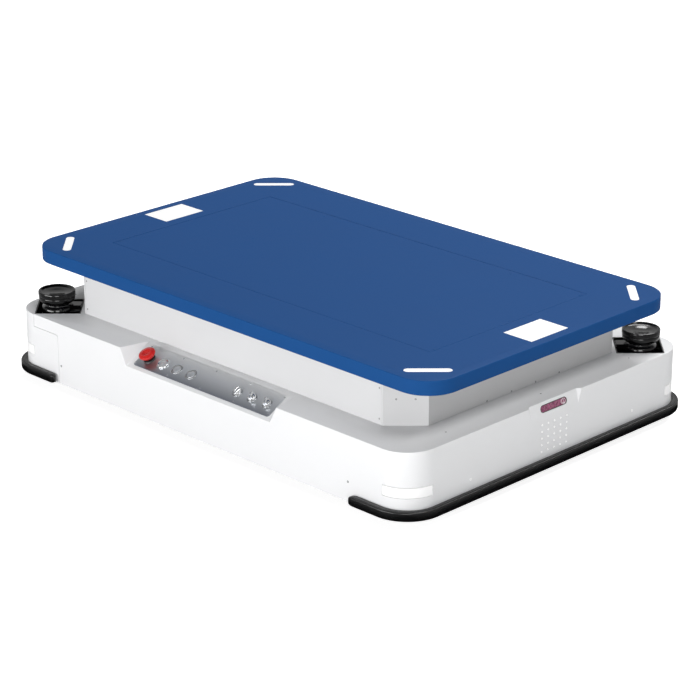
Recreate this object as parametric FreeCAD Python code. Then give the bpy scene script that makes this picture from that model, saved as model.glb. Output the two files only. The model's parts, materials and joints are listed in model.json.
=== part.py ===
import FreeCAD, Part
import math
import os

# Autonomous mobile robot with a fixed load deck, millimetres.
# +X is the end with the depth camera, -Y the side with the control panel, +Z up.
# The origin is on the floor, midway between the outermost faces.

V = FreeCAD.Vector
X_AXIS, Y_AXIS, Z_AXIS = V(1, 0, 0), V(0, 1, 0), V(0, 0, 1)

# ---- fits ----
face_gap = 0.3          # still faces that stand beside each other
run_gap = 0.05          # radial gap of a shaft or plunger in its bore
seam = 0.6              # joint line between two covers

# ---- lower body ----
body_length = 1300.0
body_width = 924.0
body_corner_r = 75.0
ground_clearance = 25.0
body_height = 152.0
skin = 3.0
body_top = ground_clearance + body_height

# ---- riser between body and deck ----
riser_setback_x = 91.3  # from the body's end to the riser
riser_setback_y = 89.5
riser_length = body_length - 2 * riser_setback_x
riser_width = body_width - 2 * riser_setback_y
riser_chamfer = 68.7
riser_height = 109.2
riser_panel = 2.5
riser_flange = 12.0     # width of the body top that carries the riser panels
corner_panel_return = 4.4
riser_top = body_top + riser_height

# ---- load deck ----
deck_overhang_x = 94.7  # beyond the riser
deck_overhang_y = 32.2
deck_length = riser_length + 2 * deck_overhang_x
deck_width = riser_width + 2 * deck_overhang_y
deck_corner_r = 79.0
deck_height = 33.2
deck_skin = 5.0
deck_floor = 3.0         # closing plate under the deck's overhang
deck_top = riser_top + deck_height
cover_margin_x = 136.4
cover_margin_y = 147.5
cover_length = deck_length - 2 * cover_margin_x
cover_width = deck_width - 2 * cover_margin_y
cover_thickness = 5.0
cover_ledge = 16.0
cover_ledge_thickness = 4.0
marker_length = 80.5
marker_width = 121.2
marker_inset = 64.2      # from the deck's end to the marker's middle
marker_thickness = 2.0
deck_light_length = 102.7
deck_light_width = 20.0
deck_light_inset = 67.6  # from the deck's sides to the slot's middle

# ---- deck frame ----
ring_width = 45.0
ring_height = 40.0
leg_size = 30.0
leg_to_caster = 140.0
leg_inset = 32.0        # from the riser's outer face to a leg's middle

# ---- control trough on the right side ----
trough_run = 76.0
trough_depth = 39.5
trough_half_outer = 258.0
trough_half_back = 241.0
trough_half_tip = 238.0
panel_end_margin = 15.0
panel_length = 2 * (trough_half_tip - panel_end_margin)
panel_width = 67.0
panel_thickness = 2.0
panel_corner_r = 6.0
panel_offset = 10.0      # from the lower edge of the slope
panel_bearing = 9.0      # strip of slope under the panel's rim
device_row = 39.0        # centre line of the controls, up the slope
device_pitch = 47.0
device_end = 194.0       # first and last control, from the middle

# ---- controls ----
barrel_r = 10.0
plunger_depth = 14.0
flush_bezel_r = 14.7
flush_bezel_height = 1.6
ring_bezel_r = 16.0
ring_bezel_height = 4.5
selector_bezel_r = 12.6
selector_bezel_height = 2.2
knob_height = 5.0
grip_height = 8.0
grip_width = 6.5
estop_collar_r = 19.5
estop_collar_height = 3.0
estop_stem_r = 5.0
estop_head_r = 20.3
estop_head_base_r = 14.0
estop_head_bottom = 7.5
estop_head_rim_low = 12.5
estop_head_crown = 3.0    # solid part over the stem
estop_head_top = 20.5

# ---- scanners in two opposite corners ----
pocket_start = 57.0      # from the square corner, along the diagonal
pocket_end = 166.0
pocket_half = 52.0
pocket_depth = 52.0
tray_wall = 2.5
scanner_base_r = 37.0
scanner_base_rise = 3.0  # heights above the body's top
scanner_waist_r = 29.0
scanner_waist_rise = 7.5
scanner_neck_r = 36.0
scanner_neck_rise = 14.0
scanner_rim_r = 44.0
scanner_rim_rise = 27.0
scanner_rise = 42.0
scanner_dish = 5.0
scanner_rim_width = 6.0
optics_wall = 2.5
plug_block_width = 44.0
rotor_pin_r = 3.0
rotor_width = 24.0
pin_depth = 20.0

# ---- depth camera and speaker in the front end ----
camera_recess_run = 9.5
camera_recess_depth = 30.5
camera_recess_outer = 89.0
camera_recess_inner = 80.0
window_length = 88.0
window_width = 17.0
window_thickness = 2.5
camera_depth = 22.0
speaker_half = 44.0
speaker_depth = 28.0
speaker_foot_gap = 13.0  # over the floor plate
speaker_head_gap = 38.0  # under the body's top

# ---- corner lights ----
strip_height = 24.6
strip_bottom = 72.4
strip_thickness = 6.0

# ---- bumpers ----
bumper_bottom = 28.3
bumper_height = 26.0
bumper_reach = 17.0
rail_thickness = 4.0
bumper_wrap = 175.0      # how far the bumper runs back along the sides
bumper_cap_length = 5.0
bumper_bevel = 5.0

# ---- rear cover ----
rear_seam_inset = 77.0   # from the body's end, at the top
rear_seam_low_inset = 165.0
rear_seam_z = 145.8

# ---- base frame ----
floor_z = 33.0
floor_thickness = 5.0
beam_y = 130.0
beam_width = 40.0
beam_height = 60.0
beam_inset = 50.0
bridge_z = 140.0
bridge_thickness = 8.0
bridge_wall = 6.0
well_side = 98.0         # half width of the space that a caster turns in

# ---- casters ----
caster_inset_x = 180.0   # from the body's end to the kingpin
caster_inset_y = 204.0
caster_r = 50.0
caster_width = 36.0
caster_trail = 38.0
caster_plate_thickness = 6.0
caster_plate_length = 96.0
caster_plate_width = 84.0
kingpin_r = 8.0
fork_leg = 5.0
fork_side_gap = 2.0
crown_thickness = 12.0
crown_half = 30.0
axle_r = 6.0
axle_boss_half = 12.0

# ---- drive units ----
drive_r = 100.0
drive_width = 50.0
drive_inset = 137.0      # from the body's side to the wheel's middle
drive_shaft_r = 15.0
carrier_to_wheel = 63.0
carrier_thickness = 12.0
carrier_half = 92.0
carrier_low = 60.0
carrier_high = 150.0
motor_half = 40.0
motor_to_beam = 12.0
post_r = 10.0
post_x = 74.0
post_to_carrier = 16.0
bush_half = 15.0
buffer_length = 30.0
buffer_half = 14.0
buffer_seat_half = 22.0
buffer_seat_thickness = 8.0
post_bar = 8.0

# ---- battery and computer ----
battery_length = 420.0
battery_width = 190.0
battery_height = 150.0
battery_x = -110.0
computer_length = 260.0
computer_width = 170.0
computer_height = 90.0
computer_x = 290.0

# ---- derived sizes ----
half_length, half_width = body_length / 2, body_width / 2
floor_top = floor_z + floor_thickness
slope = math.atan2(trough_depth, trough_run)
camera_slope = math.atan2(camera_recess_depth, camera_recess_run)
scanner_x = half_length - body_corner_r
scanner_y = half_width - body_corner_r
pocket_floor = body_top - pocket_depth
scanner_seat = pocket_floor + tray_wall
bumper_top = bumper_bottom + bumper_height
fork_half = caster_width / 2 + fork_side_gap
crown_top = bridge_z - caster_plate_thickness - face_gap
crown_bottom = crown_top - crown_thickness
scanner_base_top = body_top + scanner_base_rise
scanner_waist_z = body_top + scanner_waist_rise
scanner_neck_z = body_top + scanner_neck_rise
scanner_rim_low = body_top + scanner_rim_rise
scanner_top = body_top + scanner_rise
marker_centre_x = deck_length / 2 - marker_inset
deck_light_x, deck_light_y = deck_length / 2 - deck_light_inset, deck_width / 2 - deck_light_inset
caster_x, caster_y = half_length - caster_inset_x, half_width - caster_inset_y
side_leg_x, side_leg_y = caster_x - leg_to_caster, riser_width / 2 - leg_inset
end_leg_x = riser_length / 2 - leg_inset
bumper_start_x = half_length - bumper_wrap
rear_seam_x, rear_seam_low_x = half_length - rear_seam_inset, half_length - rear_seam_low_inset
beam_half_length = half_length - beam_inset
drive_y = half_width - drive_inset
carrier_y = drive_y - carrier_to_wheel
post_y = carrier_y - post_to_carrier
motor_length = carrier_y - beam_y - beam_width / 2 - motor_to_beam
speaker_low, speaker_high = floor_top + speaker_foot_gap, body_top - speaker_head_gap


# ---- shape helpers ----
def box(x0, x1, y0, y1, z0, z1):
    """A box between two faces on each axis, named in any order."""
    low = V(min(x0, x1), min(y0, y1), min(z0, z1))
    return Part.makeBox(abs(x1 - x0), abs(y1 - y0), abs(z1 - z0), low)


def cylinder(radius, start, end):
    """A round bar between two points."""
    along = end - start
    return Part.makeCylinder(radius, along.Length, start, along)


def prism(points, z0, z1):
    """An upright prism over a closed outline of (x, y) points."""
    corners = [V(x, y, z0) for x, y in points]
    return Part.Face(Part.makePolygon(corners + corners[:1])).extrude(V(0, 0, z1 - z0))


def rounded_prism(length, width, radius, z0, z1):
    """An upright prism over a rectangle with round corners, centred on Z."""
    block = box(-length / 2, length / 2, -width / 2, width / 2, z0, z1)
    upright = [e for e in block.Edges if abs(e.tangentAt(e.FirstParameter).z) > 0.9]
    return block.makeFillet(radius, upright)


def chamfered_prism(length, width, leg, z0, z1):
    """An upright prism over a rectangle with its corners cut off, centred on Z."""
    a, b = length / 2, width / 2
    outline = [(a, b - leg), (a - leg, b), (leg - a, b), (-a, b - leg),
               (-a, leg - b), (leg - a, -b), (a - leg, -b), (a, leg - b)]
    return prism(outline, z0, z1)


def stadium(length, width, z0, z1):
    """An upright prism over a slot outline that runs along X."""
    end = length / 2 - width / 2
    middle = box(-end, end, -width / 2, width / 2, z0, z1)
    tips = [cylinder(width / 2, V(s * end, 0, z0), V(s * end, 0, z1)) for s in (-1, 1)]
    return middle.fuse(tips).removeSplitter()


def turned(profile):
    """A solid of revolution about Z from a closed list of (radius, height) points."""
    points = [V(r, 0, z) for r, z in profile]
    return Part.Face(Part.makePolygon(points + points[:1])).revolve(V(0, 0, 0), Z_AXIS, 360)


def moved(shape, x=0.0, y=0.0, z=0.0, turn=0.0):
    """A copy turned about Z by an angle in degrees, then moved."""
    return shape.transformed(FreeCAD.Placement(V(x, y, z), FreeCAD.Rotation(Z_AXIS, turn)).toMatrix())


def on_slope(shape):
    """A copy carried from the panel's own frame (along, up the slope, out) onto the trough."""
    spot = V(0, -half_width, body_top - trough_depth)
    tilt = FreeCAD.Rotation(X_AXIS, math.degrees(slope))
    return shape.transformed(FreeCAD.Placement(spot, tilt).toMatrix())


def group(shapes):
    """Several separate solids as one node."""
    return Part.makeCompound(shapes)


def save(name, shape):
    shape.exportStep("parts/" + name + ".step")


# ---- recesses that the body shell folds round ----
def wedge(outer_half, back_half, tip_half, run, depth, grow):
    """A recess in an edge: open at the top and at the face y = 0, with a sloping floor and splayed ends.
    Its walls stand off by grow, so that a shell keeps its thickness round it."""
    angle = math.atan2(depth, run)
    back = run + grow / math.sin(angle)
    low = -depth - grow / math.cos(angle)
    a, b, c = outer_half + grow, back_half + grow, tip_half + grow
    top = [V(-a, 0, 0), V(a, 0, 0), V(b, back, 0), V(-b, back, 0)]
    tip = [V(-c, 0, low), V(c, 0, low)]
    outlines = [top, [tip[0], tip[1], top[2], top[3]], [top[0], top[1], tip[1], tip[0]],
                [top[1], top[2], tip[1]], [top[0], tip[0], top[3]]]
    faces = [Part.Face(Part.makePolygon(o + o[:1])) for o in outlines]
    return Part.Solid(Part.makeShell(faces))


def trough(grow):
    cutter = wedge(trough_half_outer, trough_half_back, trough_half_tip, trough_run, trough_depth, grow)
    return moved(cutter, 0, -half_width, body_top)


def camera_recess(grow):
    cutter = wedge(camera_recess_outer, camera_recess_inner, camera_recess_inner,
                   camera_recess_run, camera_recess_depth, grow)
    return moved(cutter, half_length, 0, body_top, 90)


def in_scanner_corners(shape):
    """Two copies of a shape drawn at the front left corner, the second half a turn round."""
    return [shape, moved(shape, turn=180)]


def pocket(grow, z0, z1):
    """The square well of a scanner, across the diagonal of the front left corner."""
    block = box(-pocket_end - grow, -pocket_start + grow, -pocket_half - grow, pocket_half + grow, z0, z1)
    return moved(block, half_length, half_width, 0, 45)


def corner_arc(inner_r, outer_r, z0, z1, trim):
    """A quarter ring round the front left corner, short of both tangent lines by trim."""
    sector = box(trim, outer_r + 1, trim, outer_r + 1, z0, z1)
    ring = cylinder(outer_r, V(0, 0, z0), V(0, 0, z1)).cut(cylinder(inner_r, V(0, 0, z0), V(0, 0, z1)))
    return moved(ring.common(sector), scanner_x, scanner_y)


def at_corners(shape):
    """Four copies of a shape drawn at the front left corner, mirrored to every corner."""
    copies = [shape, shape.mirror(V(0, 0, 0), X_AXIS), shape.mirror(V(0, 0, 0), Y_AXIS)]
    return copies + [copies[1].mirror(V(0, 0, 0), Y_AXIS)]


def window_placed(shape):
    """Carries a shape from the window's frame (along, up, out) onto the sloping face of the recess."""
    lean = math.degrees(camera_slope)
    spot = V(half_length - camera_recess_run / 2, 0, body_top - camera_recess_depth / 2)
    turn = FreeCAD.Rotation(Z_AXIS, 90).multiply(FreeCAD.Rotation(X_AXIS, lean))
    return shape.transformed(FreeCAD.Placement(spot, turn).toMatrix())


# ---- body covers ----
def body_covers():
    """The body shell and the rear cover, folded from one sheet thickness."""
    outer = rounded_prism(body_length, body_width, body_corner_r, ground_clearance, body_top)
    hollow = rounded_prism(body_length - 2 * skin, body_width - 2 * skin, body_corner_r - skin,
                           ground_clearance - 1, body_top - skin)
    outer = outer.cut(trough(0)).cut(camera_recess(0))
    hollow = hollow.cut(trough(skin)).cut(camera_recess(skin))
    shell = outer.cut(hollow)
    shell = shell.cut(chamfered_prism(riser_length - 2 * riser_flange, riser_width - 2 * riser_flange,
                                      riser_chamfer, body_top - 2 * skin, body_top + 1))
    shell = shell.cut(in_scanner_corners(pocket(0, body_top - 2 * skin, body_top + 1)))
    light = corner_arc(body_corner_r - skin - 1, body_corner_r + 1, strip_bottom,
                       strip_bottom + strip_height, 0)
    shell = shell.cut(at_corners(light))
    shell = shell.cut(window_placed(stadium(window_length, window_width, -2 * skin, 1)))
    hatch = box(panel_bearing - panel_length / 2, panel_length / 2 - panel_bearing,
                panel_offset + panel_bearing, panel_offset + panel_width - panel_bearing, -2 * skin, 1)
    shell = shell.cut(on_slope(hatch))
    return split_rear_cover(shell)


def rear_zone(gap):
    """The stepped region at the rear that comes off with the rear cover, grown by gap."""
    low = box(-half_length - 1, -rear_seam_low_x + gap, -half_width - 1, half_width + 1,
              ground_clearance - 1, rear_seam_z + gap)
    high = box(-half_length - 1, -rear_seam_x + gap, -half_width - 1, half_width + 1,
               rear_seam_z, body_top + 1)
    return low.fuse(high)


def split_rear_cover(shell):
    """Parts the rear cover from the shell: the outer wall behind the seam and the lip outside the well."""
    lip = box(-pocket_start, 0, -pocket_half, pocket_half, body_top - skin, body_top + 1)
    lip = moved(moved(lip, half_length, half_width, 0, 45), turn=180)
    cover = shell.common(wall_band(skin).common(rear_zone(0)).fuse(lip))
    freed = wall_band(skin + seam).common(rear_zone(seam))
    return shell.cut([freed, lip]), cover.removeSplitter()


def wall_band(depth):
    """The outermost layer of the body, down to a depth below its sides."""
    outer = rounded_prism(body_length, body_width, body_corner_r, ground_clearance, body_top)
    return outer.cut(rounded_prism(body_length - 2 * depth, body_width - 2 * depth, body_corner_r - depth,
                                   ground_clearance - 1, body_top + 1))


def bumper_band(inner, outer, z0, z1, x0):
    """A band round the front end at two offsets from the body's outline, from x0 forward."""
    big = rounded_prism(body_length + 2 * outer, body_width + 2 * outer, body_corner_r + outer, z0, z1)
    small = rounded_prism(body_length + 2 * inner, body_width + 2 * inner, body_corner_r + inner,
                          z0 - 1, z1 + 1)
    ahead = box(x0, half_length + outer + 1, -half_width - outer - 1, half_width + outer + 1, z0 - 1, z1 + 1)
    return big.cut(small).common(ahead)


def bumper_profile():
    """The rubber of the front bumper, bevelled along its outer top edge."""
    big = rounded_prism(body_length + 2 * bumper_reach, body_width + 2 * bumper_reach,
                        body_corner_r + bumper_reach, bumper_bottom, bumper_top)
    big = big.makeChamfer(bumper_bevel, [e for e in big.Edges if e.BoundBox.ZMin > bumper_top - 0.1])
    small = rounded_prism(body_length + 2 * rail_thickness, body_width + 2 * rail_thickness,
                          body_corner_r + rail_thickness, bumper_bottom - 1, bumper_top + 1)
    far = bumper_reach + 1
    ahead = box(bumper_start_x + bumper_cap_length, half_length + far, -half_width - far, half_width + far,
                bumper_bottom - 1, bumper_top + 1)
    return big.cut(small).common(ahead)


def bumper_caps():
    """The two end caps of the front bumper."""
    caps = []
    for side in (-1, 1):
        outer_y = side * (half_width + bumper_reach)
        cap = box(bumper_start_x, bumper_start_x + bumper_cap_length, side * (half_width + rail_thickness),
                  outer_y, bumper_bottom, bumper_top)
        corners = [e for e in cap.Edges if abs(e.tangentAt(0).x) > 0.9
                   and abs(e.CenterOfMass.y - outer_y) < 0.1 and e.CenterOfMass.z > bumper_top - 1]
        caps.append(cap.makeChamfer(bumper_bevel, corners))
    return caps


# ---- riser ----
def riser_panels():
    """The folded plates round the riser, by name."""
    ring = chamfered_prism(riser_length, riser_width, riser_chamfer, body_top, riser_top)
    inner_leg = riser_chamfer - riser_panel * (2 - math.sqrt(2))
    ring = ring.cut(chamfered_prism(riser_length - 2 * riser_panel, riser_width - 2 * riser_panel,
                                    inner_leg, body_top - 1, riser_top + 1))
    side_end = riser_length / 2 - riser_chamfer - corner_panel_return
    end_half = riser_width / 2 - riser_chamfer
    far = body_length
    side = ring.common(box(-side_end, side_end, -far, 0, body_top, riser_top))
    end = ring.common(box(side_end, far, -end_half, end_half, body_top, riser_top))
    corner = ring.common(box(side_end + seam, far, end_half + face_gap, far, body_top, riser_top))
    return {"right_side_panel": side, "left_side_panel": moved(side, turn=180),
            "front_end_panel": end, "rear_end_panel": moved(end, turn=180),
            "riser_corner_panels": group(at_corners(corner))}


def ring_prism(inset, z0, z1):
    """A prism over the deck frame's outline, drawn in by inset."""
    edge = riser_panel + face_gap + inset
    leg = riser_chamfer - edge * (2 - math.sqrt(2))
    return chamfered_prism(riser_length - 2 * edge, riser_width - 2 * edge, leg, z0, z1)


def deck_frame():
    """The ring of box section under the deck, on eight legs."""
    z0 = riser_top - ring_height
    ring = ring_prism(0, z0, riser_top).cut(ring_prism(ring_width, z0 - 1, riser_top + 1))
    half_ring = riser_width / 2 - riser_panel - face_gap - ring_width
    parts = []
    half = leg_size / 2
    for sx in (-1, 1):
        for sy in (-1, 1):
            x, y = sx * side_leg_x, sy * side_leg_y
            parts.append(box(x - half, x + half, y - half, y + half, floor_top, z0))
            x, y = sx * end_leg_x, sy * beam_y
            parts.append(box(x - half, x + half, y - half, y + half, floor_top + beam_height, z0))
    for x in (-side_leg_x, side_leg_x):
        parts.append(box(x - half, x + half, -half_ring, half_ring, z0, riser_top))
    return ring.fuse(parts).removeSplitter()


# ---- deck ----
def deck_cover_opening(gap, z0, z1):
    length, width = cover_length / 2 + gap, cover_width / 2 + gap
    return box(-length, length, -width, width, z0, z1)


def deck_light(gap, z0, z1):
    bar = stadium(deck_light_length + 2 * gap, deck_light_width + 2 * gap, z0, z1)
    return moved(bar, deck_light_x, deck_light_y, 0, -45)


def deck_marker(gap, z0, z1):
    return box(marker_centre_x - marker_length / 2 - gap, marker_centre_x + marker_length / 2 + gap,
               -marker_width / 2 - gap, marker_width / 2 + gap, z0, z1)


def deck_underplate():
    """The closing plate under the pan, from its skirt to the inside of the deck frame."""
    edge = deck_skin + face_gap
    plate = rounded_prism(deck_length - 2 * edge, deck_width - 2 * edge, deck_corner_r - edge,
                          riser_top, riser_top + deck_floor)
    return plate.cut(ring_prism(ring_width, riser_top - 1, riser_top + 2 * deck_floor))


def deck_plate():
    """The deck pan: skin, skirt, and ribs that stand on the closing plate over the deck frame."""
    pan = rounded_prism(deck_length, deck_width, deck_corner_r, riser_top, deck_top)
    under = deck_top - deck_skin
    pan = pan.cut(rounded_prism(deck_length - 2 * deck_skin, deck_width - 2 * deck_skin,
                                deck_corner_r - deck_skin, riser_top - 1, under))
    ledge = deck_cover_opening(cover_ledge, under - cover_ledge_thickness, under)
    rib_x, rib_y = riser_length / 2 - ring_width / 2, riser_width / 2 - ring_width / 2
    foot = riser_top + deck_floor
    ribs = [ledge]
    for side in (-1, 1):
        ribs.append(box(side * rib_x - deck_skin / 2, side * rib_x + deck_skin / 2,
                        riser_chamfer - rib_y, rib_y - riser_chamfer, foot, under))
        ribs.append(box(riser_chamfer - rib_x, rib_x - riser_chamfer, side * rib_y - deck_skin / 2,
                        side * rib_y + deck_skin / 2, foot, under))
        ribs.append(box(side * side_leg_x - deck_skin / 2, side * side_leg_x + deck_skin / 2,
                        -rib_y, rib_y, foot, under))
    pan = pan.fuse(ribs)
    pan = pan.cut(deck_cover_opening(seam, deck_top - cover_thickness, deck_top + 1))
    pan = pan.cut(deck_cover_opening(-cover_ledge, riser_top - 1, deck_top + 1))
    marker = deck_marker(0, deck_top - marker_thickness, deck_top + 1)
    pan = pan.cut([marker, moved(marker, turn=180)])
    return pan.cut(at_corners(deck_light(0, deck_top - marker_thickness, deck_top + 1))).removeSplitter()


# ---- control panel ----
def panel_spots():
    """Places of the controls along the panel: stop, three pushbuttons, three selectors."""
    left = [-device_end + i * device_pitch for i in range(4)]
    right = [device_end - i * device_pitch for i in (2, 1, 0)]
    return left + right


def panel_plate():
    plate = box(-panel_length / 2, panel_length / 2, panel_offset, panel_offset + panel_width,
                0, panel_thickness)
    upright = [e for e in plate.Edges if abs(e.tangentAt(e.FirstParameter).z) > 0.9]
    plate = plate.makeFillet(panel_corner_r, upright)
    holes = [cylinder(barrel_r + run_gap, V(x, device_row, -1), V(x, device_row, panel_thickness + 1))
             for x in panel_spots()]
    return on_slope(plate.cut(holes))


def control(shape, x):
    """Carries a control from its own frame, standing on the panel face, to its place."""
    return on_slope(moved(shape, x, device_row, panel_thickness))


def bezel(radius, height):
    bore = barrel_r + run_gap
    return turned([(bore, 0), (radius, 0), (radius, height), (bore, height)])


def estop_collar():
    bore = estop_stem_r + run_gap
    return turned([(bore, 0), (estop_collar_r, 0), (estop_collar_r, estop_collar_height),
                   (bore, estop_collar_height)])


def estop_head():
    """The red mushroom on the end of the stem: a wide crown over a narrower neck."""
    bore, seat = estop_stem_r + run_gap, estop_head_top - estop_head_crown
    return turned([(bore, estop_head_bottom), (estop_head_base_r, estop_head_bottom),
                   (estop_head_base_r, estop_head_rim_low), (estop_head_r, estop_head_rim_low),
                   (estop_head_r, estop_head_top), (0, estop_head_top), (0, seat), (bore, seat)])


def estop_stem():
    end = estop_head_top - estop_head_crown - face_gap
    return cylinder(estop_stem_r, V(0, 0, -plunger_depth), V(0, 0, end))


def plunger(top):
    return cylinder(barrel_r, V(0, 0, -plunger_depth), V(0, 0, top))


def selector():
    """A selector knob: a round barrel whose upper part is cut down to a grip bar."""
    shoulder = selector_bezel_height + knob_height
    top = shoulder + grip_height
    barrel = plunger(top)
    sides = [box(s * grip_width / 2, s * 2 * barrel_r, -2 * barrel_r, 2 * barrel_r, shoulder, top + 1)
             for s in (-1, 1)]
    return barrel.cut(sides)


# ---- scanners ----
def scanner_pieces():
    """Tray, housing, optics cover, head and rotor of the front left scanner, by name."""
    tray = pocket(-face_gap, pocket_floor, body_top)
    tray = tray.cut(pocket(-face_gap - tray_wall, scanner_seat, body_top + 1))
    top, pin_end = scanner_base_top, scanner_base_top - pin_depth
    neck_in = scanner_waist_r - optics_wall
    housing = cylinder(scanner_base_r, V(0, 0, scanner_seat), V(0, 0, top))
    tail = box(tray_wall - (pocket_end - math.hypot(body_corner_r, body_corner_r)) + 1, -scanner_base_r / 2,
               -plug_block_width / 2, plug_block_width / 2, scanner_seat, body_top - 4)
    housing = housing.fuse(moved(tail, turn=45)).removeSplitter()
    housing = housing.cut(cylinder(rotor_pin_r + run_gap, V(0, 0, pin_end), V(0, 0, top + 1)))
    optics = turned([(neck_in, top), (scanner_base_r, top),
                     (scanner_waist_r, scanner_waist_z), (scanner_neck_r, scanner_neck_z),
                     (neck_in, scanner_neck_z)])
    dish_r = scanner_rim_r - scanner_rim_width
    head = turned([(0, scanner_neck_z), (scanner_neck_r, scanner_neck_z), (scanner_rim_r, scanner_rim_low),
                   (scanner_rim_r, scanner_top), (dish_r, scanner_top), (dish_r, scanner_top - scanner_dish),
                   (0, scanner_top - scanner_dish)])
    pin = cylinder(rotor_pin_r, V(0, 0, pin_end + face_gap), V(0, 0, top + 2))
    half = rotor_width / 2
    low, high = top + 1, scanner_neck_z - 1
    mirror = box(-half, half, -half, half, low, high)
    slant = prism([(-half, high), (half, high), (half, low + 1)], -half, half)
    mirror = mirror.cut(slant.rotated(V(0, 0, 0), X_AXIS, 90))
    rotor = pin.fuse(mirror).removeSplitter()
    spot = {"x": scanner_x, "y": scanner_y}
    return tray, moved(housing, **spot), moved(optics, **spot), moved(head, **spot), moved(rotor, **spot)


# ---- base frame, casters and drive units ----
def caster_spots():
    return {"front_left": (caster_x, caster_y), "front_right": (caster_x, -caster_y),
            "rear_left": (-caster_x, caster_y), "rear_right": (-caster_x, -caster_y)}


def base_plate():
    """Floor plate with wells for the wheels and room for the scanner trays."""
    edge = skin + face_gap
    plate = rounded_prism(body_length - 2 * edge, body_width - 2 * edge, body_corner_r - edge,
                          floor_z, floor_top)
    well_width = 2 * (well_side - 2)
    well = chamfered_prism(well_width, well_width, well_width / 4, floor_z - 1, floor_top + 1)
    wells = [moved(well, x, y) for x, y in caster_spots().values()]
    for side in (-1, 1):
        wells.append(box(-drive_r - 15, drive_r + 15, side * (drive_y - drive_width / 2 - 10),
                         side * (drive_y + drive_width / 2 + 10), floor_z - 1, floor_top + 1))
    return plate.cut(wells)


def long_beam(side):
    """A box beam along the floor plate."""
    y = side * beam_y
    beam = box(-beam_half_length, beam_half_length, y - beam_width / 2, y + beam_width / 2,
               floor_top, floor_top + beam_height)
    return beam.cut(box(-beam_half_length - 1, beam_half_length + 1, y - beam_width / 2 + skin,
                        y + beam_width / 2 - skin, floor_top + skin, floor_top + beam_height - skin))


def caster_bridges():
    """The tables over the casters: a top plate on two walls, each beside a long beam."""
    bridges = []
    near, far = beam_y + beam_width / 2, caster_y + well_side
    for sx in (-1, 1):
        for sy in (-1, 1):
            y0, y1 = sy * near, sy * far
            inner, outer = sx * (caster_x - well_side), sx * (caster_x + well_side)
            top = box(inner - sx * bridge_wall, outer + sx * bridge_wall, y0, y1,
                      bridge_z, bridge_z + bridge_thickness)
            walls = [box(inner, inner - sx * bridge_wall, y0, y1, floor_top, bridge_z),
                     box(outer, outer + sx * bridge_wall, y0, y1, floor_top, bridge_z)]
            bridges.append(top.fuse(walls))
    clear = in_scanner_corners(pocket(4.0, pocket_floor - 4, body_top))
    return [bridge.cut(clear).removeSplitter() for bridge in bridges]


def suspension_posts(side):
    """Two guide posts and the bar across their tops, at one drive unit."""
    y = side * post_y
    top = carrier_high + buffer_length + 2 * face_gap
    bar = box(-post_x - bush_half, post_x + bush_half, y - bush_half, y + bush_half, top, top + post_bar)
    posts = [cylinder(post_r, V(x, y, floor_top), V(x, y, top + 1)) for x in (-post_x, post_x)]
    return bar.fuse(posts).removeSplitter()


def caster_plate(x, y):
    """Top plate of a caster with its kingpin."""
    plate = box(x - caster_plate_length / 2, x + caster_plate_length / 2, y - caster_plate_width / 2,
                y + caster_plate_width / 2, bridge_z - caster_plate_thickness, bridge_z)
    pin = cylinder(kingpin_r, V(x, y, crown_bottom), V(x, y, bridge_z - 1))
    return plate.fuse(pin).removeSplitter()


def caster_fork(x, y):
    """Swivel fork: crown, two tapered legs and the axle, which trails behind the kingpin."""
    axle_x = -caster_trail
    crown = box(-crown_half, crown_half, -fork_half - fork_leg, fork_half + fork_leg, crown_bottom, crown_top)
    legs = []
    for side in (-1, 1):
        y0 = side * fork_half
        foot = caster_r - axle_boss_half
        outline = [V(-crown_half, y0, crown_bottom + 1), V(crown_half, y0, crown_bottom + 1),
                   V(axle_x + axle_boss_half, y0, caster_r), V(axle_x + axle_boss_half, y0, foot),
                   V(axle_x - axle_boss_half, y0, foot), V(axle_x - axle_boss_half, y0, caster_r)]
        legs.append(Part.Face(Part.makePolygon(outline + outline[:1])).extrude(V(0, side * fork_leg, 0)))
    axle = cylinder(axle_r, V(axle_x, -fork_half, caster_r), V(axle_x, fork_half, caster_r))
    fork = crown.fuse(legs + [axle])
    fork = fork.cut(cylinder(kingpin_r + run_gap, V(0, 0, crown_bottom - 1), V(0, 0, crown_top + 1)))
    return moved(fork.removeSplitter(), x, y)


def wheel(radius, width, bore, x, y):
    """A wheel whose axis lies along Y, standing on the floor."""
    rim = cylinder(radius, V(x, y - width / 2, radius), V(x, y + width / 2, radius))
    return rim.cut(cylinder(bore, V(x, y - width, radius), V(x, y + width, radius)))


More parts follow.
